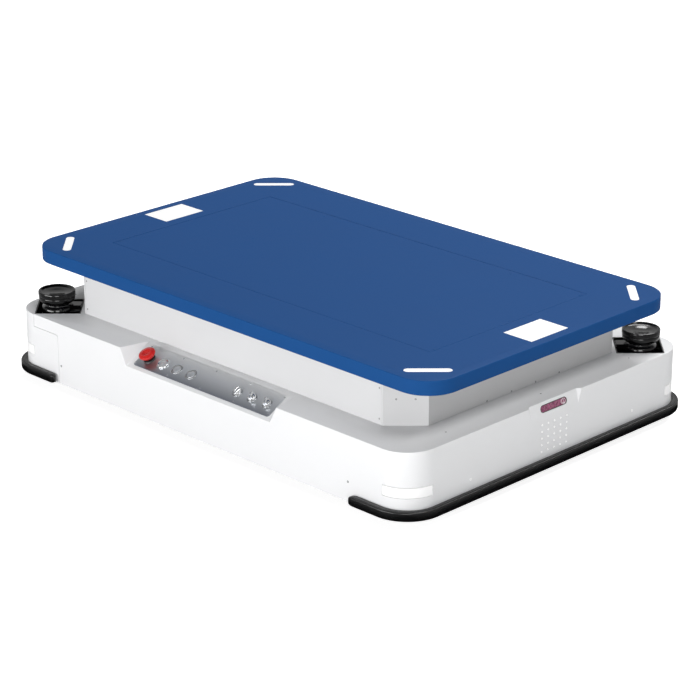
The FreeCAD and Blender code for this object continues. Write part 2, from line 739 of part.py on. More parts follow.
def drive_unit(side):
    """Carrier, gear motor, wheel and spring buffer of one drive unit, by name."""
    at, y = side * carrier_y, side * post_y
    inner = side * (post_y - bush_half)
    seat_low = carrier_high - buffer_seat_thickness
    parts = [box(-carrier_half, carrier_half, at, at + side * carrier_thickness, carrier_low, carrier_high),
             box(-buffer_seat_half, buffer_seat_half, inner, at, seat_low, carrier_high)]
    parts += [box(x - bush_half, x + bush_half, inner, at, carrier_low, carrier_high)
              for x in (-post_x, post_x)]
    bores = [cylinder(post_r + run_gap, V(x, y, 0), V(x, y, 2 * drive_r)) for x in (-post_x, post_x)]
    bores.append(cylinder(drive_shaft_r + run_gap, V(0, at - side, drive_r), V(0, side * drive_y, drive_r)))
    carrier = parts[0].fuse(parts[1:]).cut(bores).removeSplitter()
    motor = box(-motor_half, motor_half, at - side * motor_length, at,
                drive_r - motor_half, drive_r + motor_half)
    disc = cylinder(drive_r, V(0, side * (drive_y - drive_width / 2), drive_r),
                    V(0, side * (drive_y + drive_width / 2), drive_r))
    shaft = cylinder(drive_shaft_r, V(0, at + side * face_gap, drive_r), V(0, side * drive_y, drive_r))
    z0 = carrier_high + face_gap
    return {"drive_carrier": carrier, "drive_motor": motor, "drive_wheel": disc.fuse(shaft).removeSplitter(),
            "suspension_buffer": box(-buffer_half, buffer_half, y - buffer_half, y + buffer_half,
                                     z0, z0 + buffer_length)}


def main():
    os.makedirs("parts", exist_ok=True)

    shell, rear_cover = body_covers()
    save("body_shell", shell)
    save("rear_cover", rear_cover)
    save("base_plate", base_plate())
    save("long_beams", group([long_beam(side) for side in (-1, 1)]))
    save("caster_bridges", group(caster_bridges()))
    save("suspension_posts", group([suspension_posts(side) for side in (-1, 1)]))
    strip = corner_arc(body_corner_r - strip_thickness, body_corner_r, strip_bottom + face_gap,
                       strip_bottom + strip_height - face_gap, face_gap)
    save("corner_light_strips", group(at_corners(strip)))

    rail = bumper_band(0, rail_thickness, bumper_bottom + 3, bumper_top - 3, bumper_start_x)
    rubber = bumper_profile()
    save("bumper_rails", group([rail, moved(rail, turn=180)]))
    save("front_bumper", rubber)
    save("rear_bumper", moved(rubber, turn=180))
    caps = bumper_caps()
    save("bumper_end_caps", group(caps + [moved(c, turn=180) for c in caps]))

    for name, panel in riser_panels().items():
        save(name, panel)
    save("deck_frame", deck_frame())
    save("deck_plate", deck_plate())
    save("deck_underplate", deck_underplate())
    save("deck_cover", deck_cover_opening(0, deck_top - cover_thickness, deck_top))
    marker = deck_marker(-face_gap, deck_top - marker_thickness, deck_top)
    save("deck_end_markers", group([marker, moved(marker, turn=180)]))
    light = deck_light(-face_gap, deck_top - marker_thickness, deck_top)
    save("deck_corner_lights", group(at_corners(light)))

    save("control_panel_plate", panel_plate())
    spots = panel_spots()
    rings = [control(estop_collar(), spots[0]), control(bezel(ring_bezel_r, ring_bezel_height), spots[1])]
    rings += [control(bezel(flush_bezel_r, flush_bezel_height), x) for x in spots[2:4]]
    rings += [control(bezel(selector_bezel_r, selector_bezel_height), x) for x in spots[4:]]
    save("control_bezels", group(rings))
    save("estop_stem", control(estop_stem(), spots[0]))
    save("estop_head", control(estop_head(), spots[0]))
    save("reset_button", control(plunger(ring_bezel_height - 1), spots[1]))
    save("start_button", control(plunger(flush_bezel_height), spots[2]))
    save("pause_button", control(plunger(flush_bezel_height), spots[3]))
    for name, x in zip(("mode_selector", "brake_selector", "power_selector"), spots[4:]):
        save(name, control(selector(), x))

    tray, housing, optics, head, rotor = scanner_pieces()
    save("scanner_trays", group(in_scanner_corners(tray)))
    save("scanner_housings", group(in_scanner_corners(housing)))
    save("scanner_optics_covers", group(in_scanner_corners(optics)))
    save("scanner_heads", group(in_scanner_corners(head)))
    save("front_scanner_rotor", rotor)
    save("rear_scanner_rotor", moved(rotor, turn=180))

    save("camera_window", window_placed(stadium(window_length - 2 * face_gap, window_width - 2 * face_gap,
                                                -window_thickness - 0.5, -0.5)))
    save("camera_module", window_placed(stadium(window_length + 4, window_width + 8,
                                                -skin - camera_depth, -skin - face_gap)))
    save("speaker", box(half_length - skin - speaker_depth, half_length - skin - face_gap,
                        -speaker_half, speaker_half, speaker_low, speaker_high))

    save("battery_pack", box(battery_x - battery_length / 2, battery_x + battery_length / 2,
                             -battery_width / 2, battery_width / 2, floor_top, floor_top + battery_height))
    save("control_computer", box(computer_x - computer_length / 2, computer_x + computer_length / 2,
                                 -computer_width / 2, computer_width / 2,
                                 floor_top, floor_top + computer_height))

    save("caster_plates", group([caster_plate(x, y) for x, y in caster_spots().values()]))
    for name, (x, y) in caster_spots().items():
        save(name + "_caster_fork", caster_fork(x, y))
        save(name + "_caster_wheel", wheel(caster_r, caster_width, axle_r + run_gap, x - caster_trail, y))
    for name, side in (("right", -1), ("left", 1)):
        for piece, shape in drive_unit(side).items():
            save(name + "_" + piece, shape)


main()
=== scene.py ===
import json
import math

import bmesh
import bpy
import numpy as np
from mathutils import Matrix, Vector


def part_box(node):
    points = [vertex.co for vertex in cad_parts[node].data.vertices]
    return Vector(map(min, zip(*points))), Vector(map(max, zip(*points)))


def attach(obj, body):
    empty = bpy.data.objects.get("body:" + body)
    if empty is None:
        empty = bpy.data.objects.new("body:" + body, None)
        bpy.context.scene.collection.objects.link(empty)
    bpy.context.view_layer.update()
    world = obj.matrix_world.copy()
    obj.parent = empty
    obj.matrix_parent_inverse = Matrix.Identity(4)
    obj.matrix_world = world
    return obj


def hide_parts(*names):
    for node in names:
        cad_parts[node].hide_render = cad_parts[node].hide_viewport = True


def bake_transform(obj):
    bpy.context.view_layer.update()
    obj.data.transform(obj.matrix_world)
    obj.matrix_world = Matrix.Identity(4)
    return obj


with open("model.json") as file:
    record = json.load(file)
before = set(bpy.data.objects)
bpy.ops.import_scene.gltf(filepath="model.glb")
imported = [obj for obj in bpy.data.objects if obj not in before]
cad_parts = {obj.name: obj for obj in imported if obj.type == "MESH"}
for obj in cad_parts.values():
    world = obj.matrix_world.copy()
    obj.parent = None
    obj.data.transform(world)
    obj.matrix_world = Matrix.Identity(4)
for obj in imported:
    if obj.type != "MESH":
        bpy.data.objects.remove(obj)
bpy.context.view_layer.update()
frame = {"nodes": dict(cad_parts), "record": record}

bl_info = {
    "name": "Autonomous Mobile Robot Dressing",
    "version": (1, 0, 0),
    "blender": (4, 5, 0),
    "location": "3D View > Sidebar > Robot",
    "description": "Dresses the packed frame of a low mobile robot with detailed covers, controls and finishes",
    "category": "Object",
}

MM = 0.001
SHELL_LOW, SHELL_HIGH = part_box("body_shell")
DECK_LOW, DECK_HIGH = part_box("deck_plate")
COVER_LOW, COVER_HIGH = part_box("deck_cover")
RISER_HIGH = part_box("riser_corner_panels")[1]
CORNERS = ((1, 1), (1, -1), (-1, -1), (-1, 1))  # the signs of x and y at the four upright corners
TO_SIDE = Matrix.Rotation(math.pi / 2, 4, "X")  # turns a shape about Z to face the right side, -Y
TO_END = Matrix.Rotation(math.pi / 2, 4, "Y")  # turns it to face the front end, +X
PAST = 0.01  # how far a cutter reaches past the surface that it opens
PLATE = 2 * MM  # thickness of the control panel's plate
CONTROL_PITCH = 47 * MM  # from one control to the next
CONTROL_END = 194 * MM  # from the panel's middle to its outermost controls


# ---------------------------------------------------------------- sizes and colours
def distance(name, description, millimetres):
    """A length, given in millimetres and kept in metres."""
    return bpy.props.FloatProperty(name=name, description=description, default=millimetres * MM,
                                   min=0.0, subtype="DISTANCE", unit="LENGTH")


def colour(name, description, value):
    """A colour as scene-linear red, green and blue."""
    return bpy.props.FloatVectorProperty(name=name, description=description, default=value,
                                         size=3, min=0.0, max=1.0, subtype="COLOR")


class RobotSizes(bpy.types.PropertyGroup):
    """Sizes of the covers, in metres."""
    body_round: distance("Body corner radius", "Radius of the body's upright corners", 75)
    skin: distance("Skin", "Sheet thickness of the body covers", 3)
    edge: distance("Folded edge", "Radius of the folded edges of the covers", 0.9)
    trough_run: distance("Trough run", "How far the control trough reaches into the body", 76)
    trough_depth: distance("Trough depth", "Height of the control trough's slope", 39.5)
    trough_outer: distance("Trough outer half width", "Half width at the top of the outer face", 258)
    trough_back: distance("Trough back half width", "Half width along the back edge", 241)
    trough_tip: distance("Trough tip half width", "Half width at the foot of the slope", 238)
    recess_run: distance("Camera recess run", "How far the camera recess reaches in", 8)
    recess_depth: distance("Camera recess depth", "Height of the camera recess", 30.5)
    recess_outer: distance("Camera recess outer half width", "Half width at the outer face", 88.5)
    recess_inner: distance("Camera recess inner half width", "Half width along the back edge", 78.5)
    window_length: distance("Window length", "Length of the camera window", 88)
    window_width: distance("Window width", "Width of the camera window", 17)
    pocket_start: distance("Scanner well start", "From the square corner along the diagonal", 57)
    pocket_end: distance("Scanner well end", "From the square corner along the diagonal", 166)
    pocket_half: distance("Scanner well half width", "Half width across the diagonal", 52)
    strip_low: distance("Light strip foot", "Lower edge of the corner light strips", 72.4)
    strip_high: distance("Light strip head", "Upper edge of the corner light strips", 97)
    seam_x: distance("Rear seam, upper", "Where the rear seam meets the top edge", 573)
    seam_low_x: distance("Rear seam, lower", "Where the rear seam meets the bottom edge", 485)
    seam_z: distance("Rear seam step", "Height of the step in the rear seam", 145.8)
    seam_gap: distance("Seam", "Width of the seams between covers", 0.8)
    deck_round: distance("Deck corner radius", "Radius of the deck's corners", 79)
    deck_edge: distance("Deck edge", "Radius of the deck's top and bottom edges", 1.8)
    bumper_reach: distance("Bumper reach", "How far the bumper stands out", 17)
    bumper_foot: distance("Bumper foot", "Lower face of the bumper", 26.5)
    bumper_head: distance("Bumper head", "Upper face of the bumper", 48.5)
    bumper_end: distance("Bumper end", "Where the bumper ends along the sides", 490)
    panel_offset: distance("Panel offset", "From the slope's foot to the panel", 10)
    device_row: distance("Control row", "Centre line of the controls up the slope", 39)


class RobotColours(bpy.types.PropertyGroup):
    """Colours of the finishes, as scene-linear values."""
    white: colour("White paint", "Powder coat of the body and the riser", (0.87, 0.875, 0.885))
    # painted shade: the riser's panels take the white paint made darker, standing for the shade under the deck
    riser: colour("Riser paint", "White powder coat of the riser's panels, darkened as painted shade", (0.69, 0.692, 0.70))
    blue: colour("Deck blue", "Paint of the load deck", (0.0130, 0.0775, 0.2560))
    rubber: colour("Bumper rubber", "Rubber of the bumpers", (0.0035, 0.0035, 0.0037))
    black: colour("Scanner black", "Moulded housings of the scanners", (0.0025, 0.0025, 0.0027))
    steel: colour("Brushed steel", "Control panel and buttons", (0.70, 0.71, 0.725))
    chrome: colour("Chrome", "Knobs and bezels", (0.66, 0.67, 0.68))
    red: colour("Stop red", "Emergency stop head", (0.60, 0.014, 0.012))
    window: colour("Camera window", "Tinted glass over the depth camera", (0.310, 0.090, 0.168))
    lens_white: colour("Light strips", "Diffusers of the lights and deck inlays", (0.94, 0.94, 0.94))
    floor: colour("Floor", "Pale studio floor", (0.80, 0.80, 0.80))


# ---------------------------------------------------------------- surfaces
def rounded_loop(half_x, half_y, radius, steps=20):
    """Arc centres and outward directions round a rectangle with round corners: each corner turns a quarter
    in equal steps, and a point of the outline is centre + direction * radius."""
    turn = np.linspace(0.0, np.pi / 2, steps + 1)
    angles = np.concatenate([turn + quarter * np.pi / 2 for quarter in range(4)])
    signs = np.repeat(np.array([(1, 1), (-1, 1), (-1, -1), (1, -1)], float), steps + 1, axis=0)
    centres = signs * np.array([half_x - radius, half_y - radius])
    return centres, np.stack([np.cos(angles), np.sin(angles)], axis=1)


def circle_loop(steps=48):
    """A circle about the origin: every arc centre is the origin, and the direction turns once round."""
    angles = np.arange(steps) * 2 * np.pi / steps
    return np.zeros((steps, 2)), np.stack([np.cos(angles), np.sin(angles)], axis=1)


def grid_faces(rows, columns, closed_columns=True, closed_rows=False):
    """Quads over a grid of points, joined round its columns, its rows or both when they are closed."""
    r = np.arange(rows if closed_rows else rows - 1)[:, None]
    c = np.arange(columns if closed_columns else columns - 1)[None, :]
    r2, c2 = (r + 1) % rows, (c + 1) % columns
    quads = np.stack(np.broadcast_arrays(r * columns + c, r * columns + c2, r2 * columns + c2,
                                         r2 * columns + c), axis=-1)
    return quads.reshape(-1, 4).tolist()


def end_faces(rows, columns):
    """One face over the first row of a grid of points and one over its last."""
    last = (rows - 1) * columns
    return [list(range(columns))[::-1], list(range(last, last + columns))]


def carried(loop, profile, tube=False):
    """A profile of (distance from the arc centre, height) carried round a closed loop: the point for profile
    row i and loop column j is centre j + direction j * distance i, at height i. The first and last rows are
    closed by a face each, unless the profile is a closed tube."""
    centres, directions = loop
    profile = np.asarray(profile, float)
    flat = centres[None] + directions[None] * profile[:, 0][:, None, None]
    height = np.broadcast_to(profile[:, 1][:, None, None], flat.shape[:2] + (1,))
    points = np.concatenate([flat, height], axis=2).reshape(-1, 3)
    rows, columns = len(profile), len(centres)
    return points, grid_faces(rows, columns, True, tube) + ([] if tube else end_faces(rows, columns))


def swept(path, profile):
    """A closed profile of (out, up) carried along an open path given by points, outward directions and a
    scale for each station: point = station + direction * (mid + scale * (out - mid)), up likewise. Both ends
    are closed by a face."""
    stations, directions, scales = path
    profile = np.asarray(profile, float)
    middle = (profile.max(0) + profile.min(0)) / 2
    local = middle + (profile - middle)[None] * np.asarray(scales)[:, None, None]
    flat = stations[:, None, :2] + directions[:, None, :] * local[:, :, :1]
    points = np.concatenate([flat, local[:, :, 1:]], axis=2).reshape(-1, 3)
    rows, columns = len(stations), len(profile)
    return points, grid_faces(rows, columns) + end_faces(rows, columns)


def turned(profile, steps=48, tube=False):
    """A profile of (radius, height) in millimetres turned about Z."""
    return carried(circle_loop(steps), np.asarray(profile, float) * MM, tube)


def outline_prism(points, low, high):
    """An upright prism over a closed outline of (x, y) points."""
    points = np.asarray(points, float)
    count = len(points)
    both = np.concatenate([np.c_[points, np.full(count, low)], np.c_[points, np.full(count, high)]])
    return both, grid_faces(2, count) + end_faces(2, count)


def block(x0, x1, y0, y1, z0, z1):
    """A plain box, for cutting and as the start of a bevelled sheet."""
    return outline_prism([(x0, y0), (x1, y0), (x1, y1), (x0, y1)], z0, z1)


def rounded_box(half_x, half_y, radius, low, high):
    """A block in millimetres with round upright corners and bevelled rims."""
    loop = rounded_loop(half_x * MM, half_y * MM, radius * MM, 6)
    inner = radius - 1
    return carried(loop, np.array([(inner, low), (radius, low + 1), (radius, high - 1), (inner, high)]) * MM)


def stadium(length, width, low, high, steps=12):
    """A slot outline along X: two half circles joined by straight sides, as a prism."""
    half = np.linspace(-np.pi / 2, np.pi / 2, steps + 1)
    ends = [np.stack([side * (length - width) / 2 + side * np.cos(half) * width / 2,
                      side * np.sin(half) * width / 2], axis=1) for side in (1, -1)]
    return outline_prism(np.concatenate(ends), low, high)


def chamfered_outline(half_x, half_y, leg):
    """A rectangle with its corners cut off straight, as (x, y) points."""
    return [(half_x, half_y - leg), (half_x - leg, half_y), (leg - half_x, half_y), (-half_x, half_y - leg),
            (-half_x, leg - half_y), (leg - half_x, -half_y), (half_x - leg, -half_y), (half_x, leg - half_y)]


def wedge(outer, back, tip, run, depth, grow):
    """A recess in an edge, open above and at y = 0: a sloping floor between splayed ends, drawn out by grow."""
    slope = math.atan2(depth, run)
    y, z = run + grow / math.sin(slope), -depth - grow / math.cos(slope)
    a, b, c = outer + grow, back + grow, tip + grow
    rise = out = 2 * PAST
    points = [(-a, 0, 0), (a, 0, 0), (b, y, 0), (-b, y, 0), (-c, 0, z), (c, 0, z),
              (-a, 0, rise), (a, 0, rise), (b, y, rise), (-b, y, rise)]
    front = [(-a, -out, 0), (a, -out, 0), (-c, -out, z), (c, -out, z), (-a, -out, rise), (a, -out, rise)]
    faces = [[4, 5, 2, 3], [1, 2, 5], [0, 4, 3], [0, 3, 9, 6], [3, 2, 8, 9], [2, 1, 7, 8],
             [6, 9, 8, 7], [6, 7, 15, 14], [0, 6, 14, 10], [1, 11, 15, 7], [10, 12, 4, 0],
             [11, 1, 5, 13], [12, 13, 5, 4], [10, 14, 15, 11, 13, 12]]
    return np.array(points + front, float), faces


def at(shape, matrix):
    """The same surface carried by a matrix."""
    points, faces = shape
    matrix = np.asarray(matrix)
    return (matrix[:3, :3] @ points.T + matrix[:3, 3:4]).T, faces


def joined(shapes):
    """Several surfaces as one."""
    points, faces, start = [], [], 0
    for shape_points, shape_faces in shapes:
        points.append(shape_points)
        faces += [[k + start for k in face] for face in shape_faces]
        start += len(shape_points)
    return np.concatenate(points), faces


def place(x=0.0, y=0.0, z=0.0, turn=0.0):
    """A place in metres, turned about Z in degrees."""
    return Matrix.Translation((x, y, z)) @ Matrix.Rotation(math.radians(turn), 4, "Z")


HALF_TURN = place(turn=180)


def both_ends(shape):
    """A shape of the front end and its twin half a turn round, at the rear."""
    return joined([shape, at(shape, HALF_TURN)])


def panel_place(sizes, along, up, out):
    """A place on the control panel: along it, up its slope and out of its face."""
    slope = math.atan2(sizes.trough_depth, sizes.trough_run)
    foot = Matrix.Translation((0, SHELL_LOW.y, SHELL_HIGH.z - sizes.trough_depth))
    return foot @ Matrix.Rotation(slope, 4, "X") @ Matrix.Translation((along, up, out))


def window_place(sizes):
    """The frame of the camera window: X along it, Y up its slope, Z outwards."""
    lean = math.atan2(sizes.recess_depth, sizes.recess_run)
    spot = Matrix.Translation((SHELL_HIGH.x - sizes.recess_run / 2, 0, SHELL_HIGH.z - sizes.recess_depth / 2))
    return spot @ Matrix.Rotation(math.pi / 2, 4, "Z") @ Matrix.Rotation(lean, 4, "X")


# ---------------------------------------------------------------- pieces
def new_object(name, shape):
    """A mesh object from points and faces, with its doubles merged and its faces outwards."""
    mesh = bpy.data.meshes.new(name)
    points, faces = shape
    mesh.from_pydata(points.tolist(), [], faces)
    work = bmesh.new()
    work.from_mesh(mesh)
    bmesh.ops.remove_doubles(work, verts=work.verts, dist=1e-7)
    bmesh.ops.dissolve_degenerate(work, edges=work.edges, dist=1e-7)
    bmesh.ops.recalc_face_normals(work, faces=work.faces)
    work.to_mesh(mesh)
    work.free()
    made = bpy.data.objects.new(name, mesh)
    bpy.context.scene.collection.objects.link(made)
    return made


def boolean(target, cutter, operation="DIFFERENCE"):
    """Cuts an object out of a piece, adds it or keeps only what they share, and removes the cutter."""
    modifier = target.modifiers.new("carve", "BOOLEAN")
    modifier.object, modifier.operation, modifier.solver = cutter, operation, "EXACT"
    mesh = bpy.data.meshes.new_from_object(target.evaluated_get(bpy.context.evaluated_depsgraph_get()))
    target.modifiers.clear()
    old, target.data = target.data, mesh
    bpy.data.meshes.remove(old)
    bpy.data.objects.remove(cutter)


def carve(target, shape, operation="DIFFERENCE"):
    """The same with a cutter given by its surface."""
    boolean(target, new_object("cutter", shape), operation)


def soften(target, width):
    """Rounds a piece's sharp edges with a narrow bevel."""
    bevel = target.modifiers.new("edges", "BEVEL")
    bevel.width, bevel.segments, bevel.limit_method = width, 2, "ANGLE"
    bevel.angle_limit = math.radians(35)
    bevel.use_clamp_overlap = False
    bevel.harden_normals = True


def dress(target, body, material, replaces=(), smooth=35.0):
    """Finishes a piece: its material, smooth shading, body and the nodes that it stands for. A piece that
    bends between bodies is given no body here."""
    target.data.materials.clear()
    target.data.materials.append(material)
    target.data.shade_smooth()
    target.data.set_sharp_from_angle(angle=math.radians(smooth))
    if body:
        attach(target, body)
    if replaces:
        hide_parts(*replaces)
    return target


def piece(name, shape, body, material, replaces=(), smooth=35.0):
    """A dressed piece made from a surface."""
    return dress(new_object(name, shape), body, material, replaces, smooth)


# ---------------------------------------------------------------- finishes
def feed(tree, target, given):
    """Gives a node's inputs, by name or number, what a table lists: a number, a vector, a colour or an output."""
    for key, value in given.items():
        socket = target.inputs[key]
        if isinstance(value, bpy.types.NodeSocket):
            tree.links.new(value, socket)
        else:
            socket.default_value = (*value, 1.0) if socket.type == "RGBA" else value


def node(tree, kind, given=None, **values):
    """A shader node with its settings and its inputs."""
    made = tree.nodes.new("ShaderNode" + kind)
    for key, value in values.items():
        setattr(made, key, value)
    feed(tree, made, given or {})
    return made


def maths(tree, operation, first, second):
    """The result of a sum, product or the like of two values."""
    return node(tree, "Math", {0: first, 1: second}, operation=operation).outputs[0]


def noise(tree, vector, scale, detail=2.0, roughness=0.5):
    """Soft noise between 0 and 1."""
    return node(tree, "TexNoise", {"Vector": vector, "Scale": scale, "Detail": detail,
                                   "Roughness": roughness}).outputs["Fac"]


def varied(tree, value, middle, amount):
    """How far a value lies from its middle, times an amount."""
    return maths(tree, "MULTIPLY", maths(tree, "SUBTRACT", value, middle), amount)


def mapped(tree, value, low, high, to_low=0.0, to_high=1.0):
    """A value carried from one range to another and held at its ends."""
    return node(tree, "MapRange", {"Value": value, "From Min": low, "From Max": high, "To Min": to_low,
                                   "To Max": to_high}).outputs["Result"]


def mixed(tree, factor, first, second, blend="MIX"):
    """Two colours mixed by a factor."""
    return node(tree, "Mix", {"Factor": factor, "A": first, "B": second}, data_type="RGBA",
                blend_type=blend).outputs["Result"]


def on_object(tree):
    """The place on the object, which stands at the origin like the robot."""
    return node(tree, "TexCoord").outputs["Object"]


def new_material(name):
    """A material with its node tree and shader."""
    made = bpy.data.materials.new(name)
    made.use_nodes = True
    return made, made.node_tree, made.node_tree.nodes["Principled BSDF"]


def build_grain(group, given):
    """Paint or moulding grain: fine noise gives the bump height, a coarser one shifts the shade and the gloss."""
    fine = noise(group, given["Vector"], given["Scale"], 3.0)
    shift = varied(group, noise(group, given["Vector"], 7.0, 4.0), 0.5, given["Variation"])
    gloss = maths(group, "ADD", varied(group, fine, 0.5, 0.10), shift)
    return fine, maths(group, "ADD", shift, 1.0), maths(group, "ADD", gloss, given["Roughness"])


def build_brushing(group, given):
    """Brushed metal: noise stretched along one axis gives fine lines in height, shade and gloss."""
    stretch = node(group, "VectorMath", {0: given["Vector"], 1: given["Stretch"]}, operation="MULTIPLY")
    lines = noise(group, stretch.outputs[0], 1.0, 5.0)
    shift = varied(group, lines, 0.5, given["Variation"])
    return lines, maths(group, "ADD", shift, 1.0), maths(group, "ADD", shift, given["Roughness"])


def build_dust(group, given):
    """Dust: a soft veil that lies on faces that look up and breaks up with noise."""
    facing = node(group, "SeparateXYZ", {0: node(group, "NewGeometry").outputs["Normal"]}).outputs["Z"]
    veil = maths(group, "MULTIPLY", maths(group, "MAXIMUM", facing, 0.0), noise(group, given["Vector"], 11.0, 6.0))
    return (maths(group, "MULTIPLY", veil, given["Amount"]),)


SURFACE = ("Height", "Shade", "Roughness")
NOWHERE = (0.0, 0.0, 0.0)
GROUPS = {
    "Moulded grain": ({"Vector": NOWHERE, "Scale": 900.0, "Variation": 0.03, "Roughness": 0.45},
                      SURFACE, build_grain),
    "Brushed lines": ({"Vector": NOWHERE, "Stretch": (15.0, 1500.0, 1500.0), "Variation": 0.12, "Roughness": 0.3},
                      SURFACE, build_brushing),
    "Settled dust": ({"Vector": NOWHERE, "Amount": 0.1}, ("Mask",), build_dust),
}


def shader_group(name):
    """A node group built once. Its inputs are numbers and vectors, its outputs are numbers, and its function makes
    the outputs from the inputs."""
    if name in bpy.data.node_groups:
        return bpy.data.node_groups[name]
    inputs, outputs, build = GROUPS[name]
    group = bpy.data.node_groups.new(name, "ShaderNodeTree")
    for label, value in inputs.items():
        kind = "NodeSocketVector" if isinstance(value, tuple) else "NodeSocketFloat"
        group.interface.new_socket(label, in_out="INPUT", socket_type=kind).default_value = value
    for label in outputs:
        group.interface.new_socket(label, in_out="OUTPUT", socket_type="NodeSocketFloat")
    given, result = group.nodes.new("NodeGroupInput"), group.nodes.new("NodeGroupOutput")
    feed(group, result, dict(zip(outputs, build(group, given.outputs))))
    return group


def finish(name, tint, roughness, metallic=0.0, coat=0.0, grain=900.0, depth=0.02, variation=0.03, dust=0.0,
           brushed=None, specular=0.5, glow=0.0):
    """A finish on object coordinates: its colour shaded by grain or brushing, with bump, gloss and dust. The depth
    of the bump is in millimetres."""
    if name in bpy.data.materials:
        return bpy.data.materials[name]
    material, tree, shader = new_material(name)
    where = on_object(tree)
    pattern = {"Vector": where, "Variation": variation, "Roughness": roughness}
    if brushed:
        effect = node(tree, "Group", {**pattern, "Stretch": brushed}, node_tree=shader_group("Brushed lines"))
    else:
        effect = node(tree, "Group", {**pattern, "Scale": grain}, node_tree=shader_group("Moulded grain"))
    surface = mixed(tree, 1.0, tint, effect.outputs["Shade"], "MULTIPLY")
    if dust:
        settled = node(tree, "Group", {"Vector": where, "Amount": dust}, node_tree=shader_group("Settled dust"))
        surface = mixed(tree, settled.outputs["Mask"], surface, (0.42, 0.41, 0.40))
    bump = node(tree, "Bump", {"Strength": 0.35, "Distance": depth * MM, "Height": effect.outputs["Height"]})
    feed(tree, shader, {"Base Color": surface, "Roughness": effect.outputs["Roughness"],
                        "Normal": bump.outputs["Normal"], "Metallic": metallic, "Coat Weight": coat,
                        "Specular IOR Level": specular})
    if glow:
        feed(tree, shader, {"Emission Color": (1.0, 1.0, 1.0), "Emission Strength": glow})
    return material


def tinted_glass(name, tint):
    """Dark tinted glass: a clear coat over a deep colour that mottled reflections from within break up."""
    if name in bpy.data.materials:
        return bpy.data.materials[name]
    made = finish(name, tint, 0.06, coat=0.35, grain=300.0, depth=0.01, variation=0.15)
    tree = made.node_tree
    mottle = mapped(tree, noise(tree, on_object(tree), 170.0, 4.0, 0.7), 0.36, 0.64)
    dark, pale = [c * 0.55 for c in tint], [c * 1.45 for c in tint]
    feed(tree, tree.nodes["Principled BSDF"], {"Base Color": mixed(tree, mottle, dark, pale)})
    return made


def sloping_steel(name, tint):
    """Brushed steel of the control panel with a painted reflection: the colour is graded over the panel's height,
    dark at its foot and pale at its head, standing in for a dark floor and a light room mirrored in it, and the metal
    gives way to a pale haze towards the head, which paints the same reflection."""
    if name in bpy.data.materials:
        return bpy.data.materials[name]
    made = finish(name, tint, 0.32, metallic=1.0, brushed=(14, 1300, 1300), depth=0.006, variation=0.06)
    tree = made.node_tree
    shader = tree.nodes["Principled BSDF"]
    low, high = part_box("control_panel_plate")
    rise = mapped(tree, node(tree, "SeparateXYZ", {0: on_object(tree)}).outputs["Z"], low.z, high.z)
    # painted reflection: the colour runs from dark at the panel's foot to pale at its head
    painted_reflection_grade = mixed(tree, rise, (0.29, 0.31, 0.355), (1.36, 1.36, 1.34))
    brushed = shader.inputs["Base Color"].links[0].from_socket
    feed(tree, shader, {"Base Color": mixed(tree, 1.0, brushed, painted_reflection_grade, "MULTIPLY"),
                        "Metallic": mapped(tree, rise, 0.0, 1.0, 1.0, 0.64)})
    return made


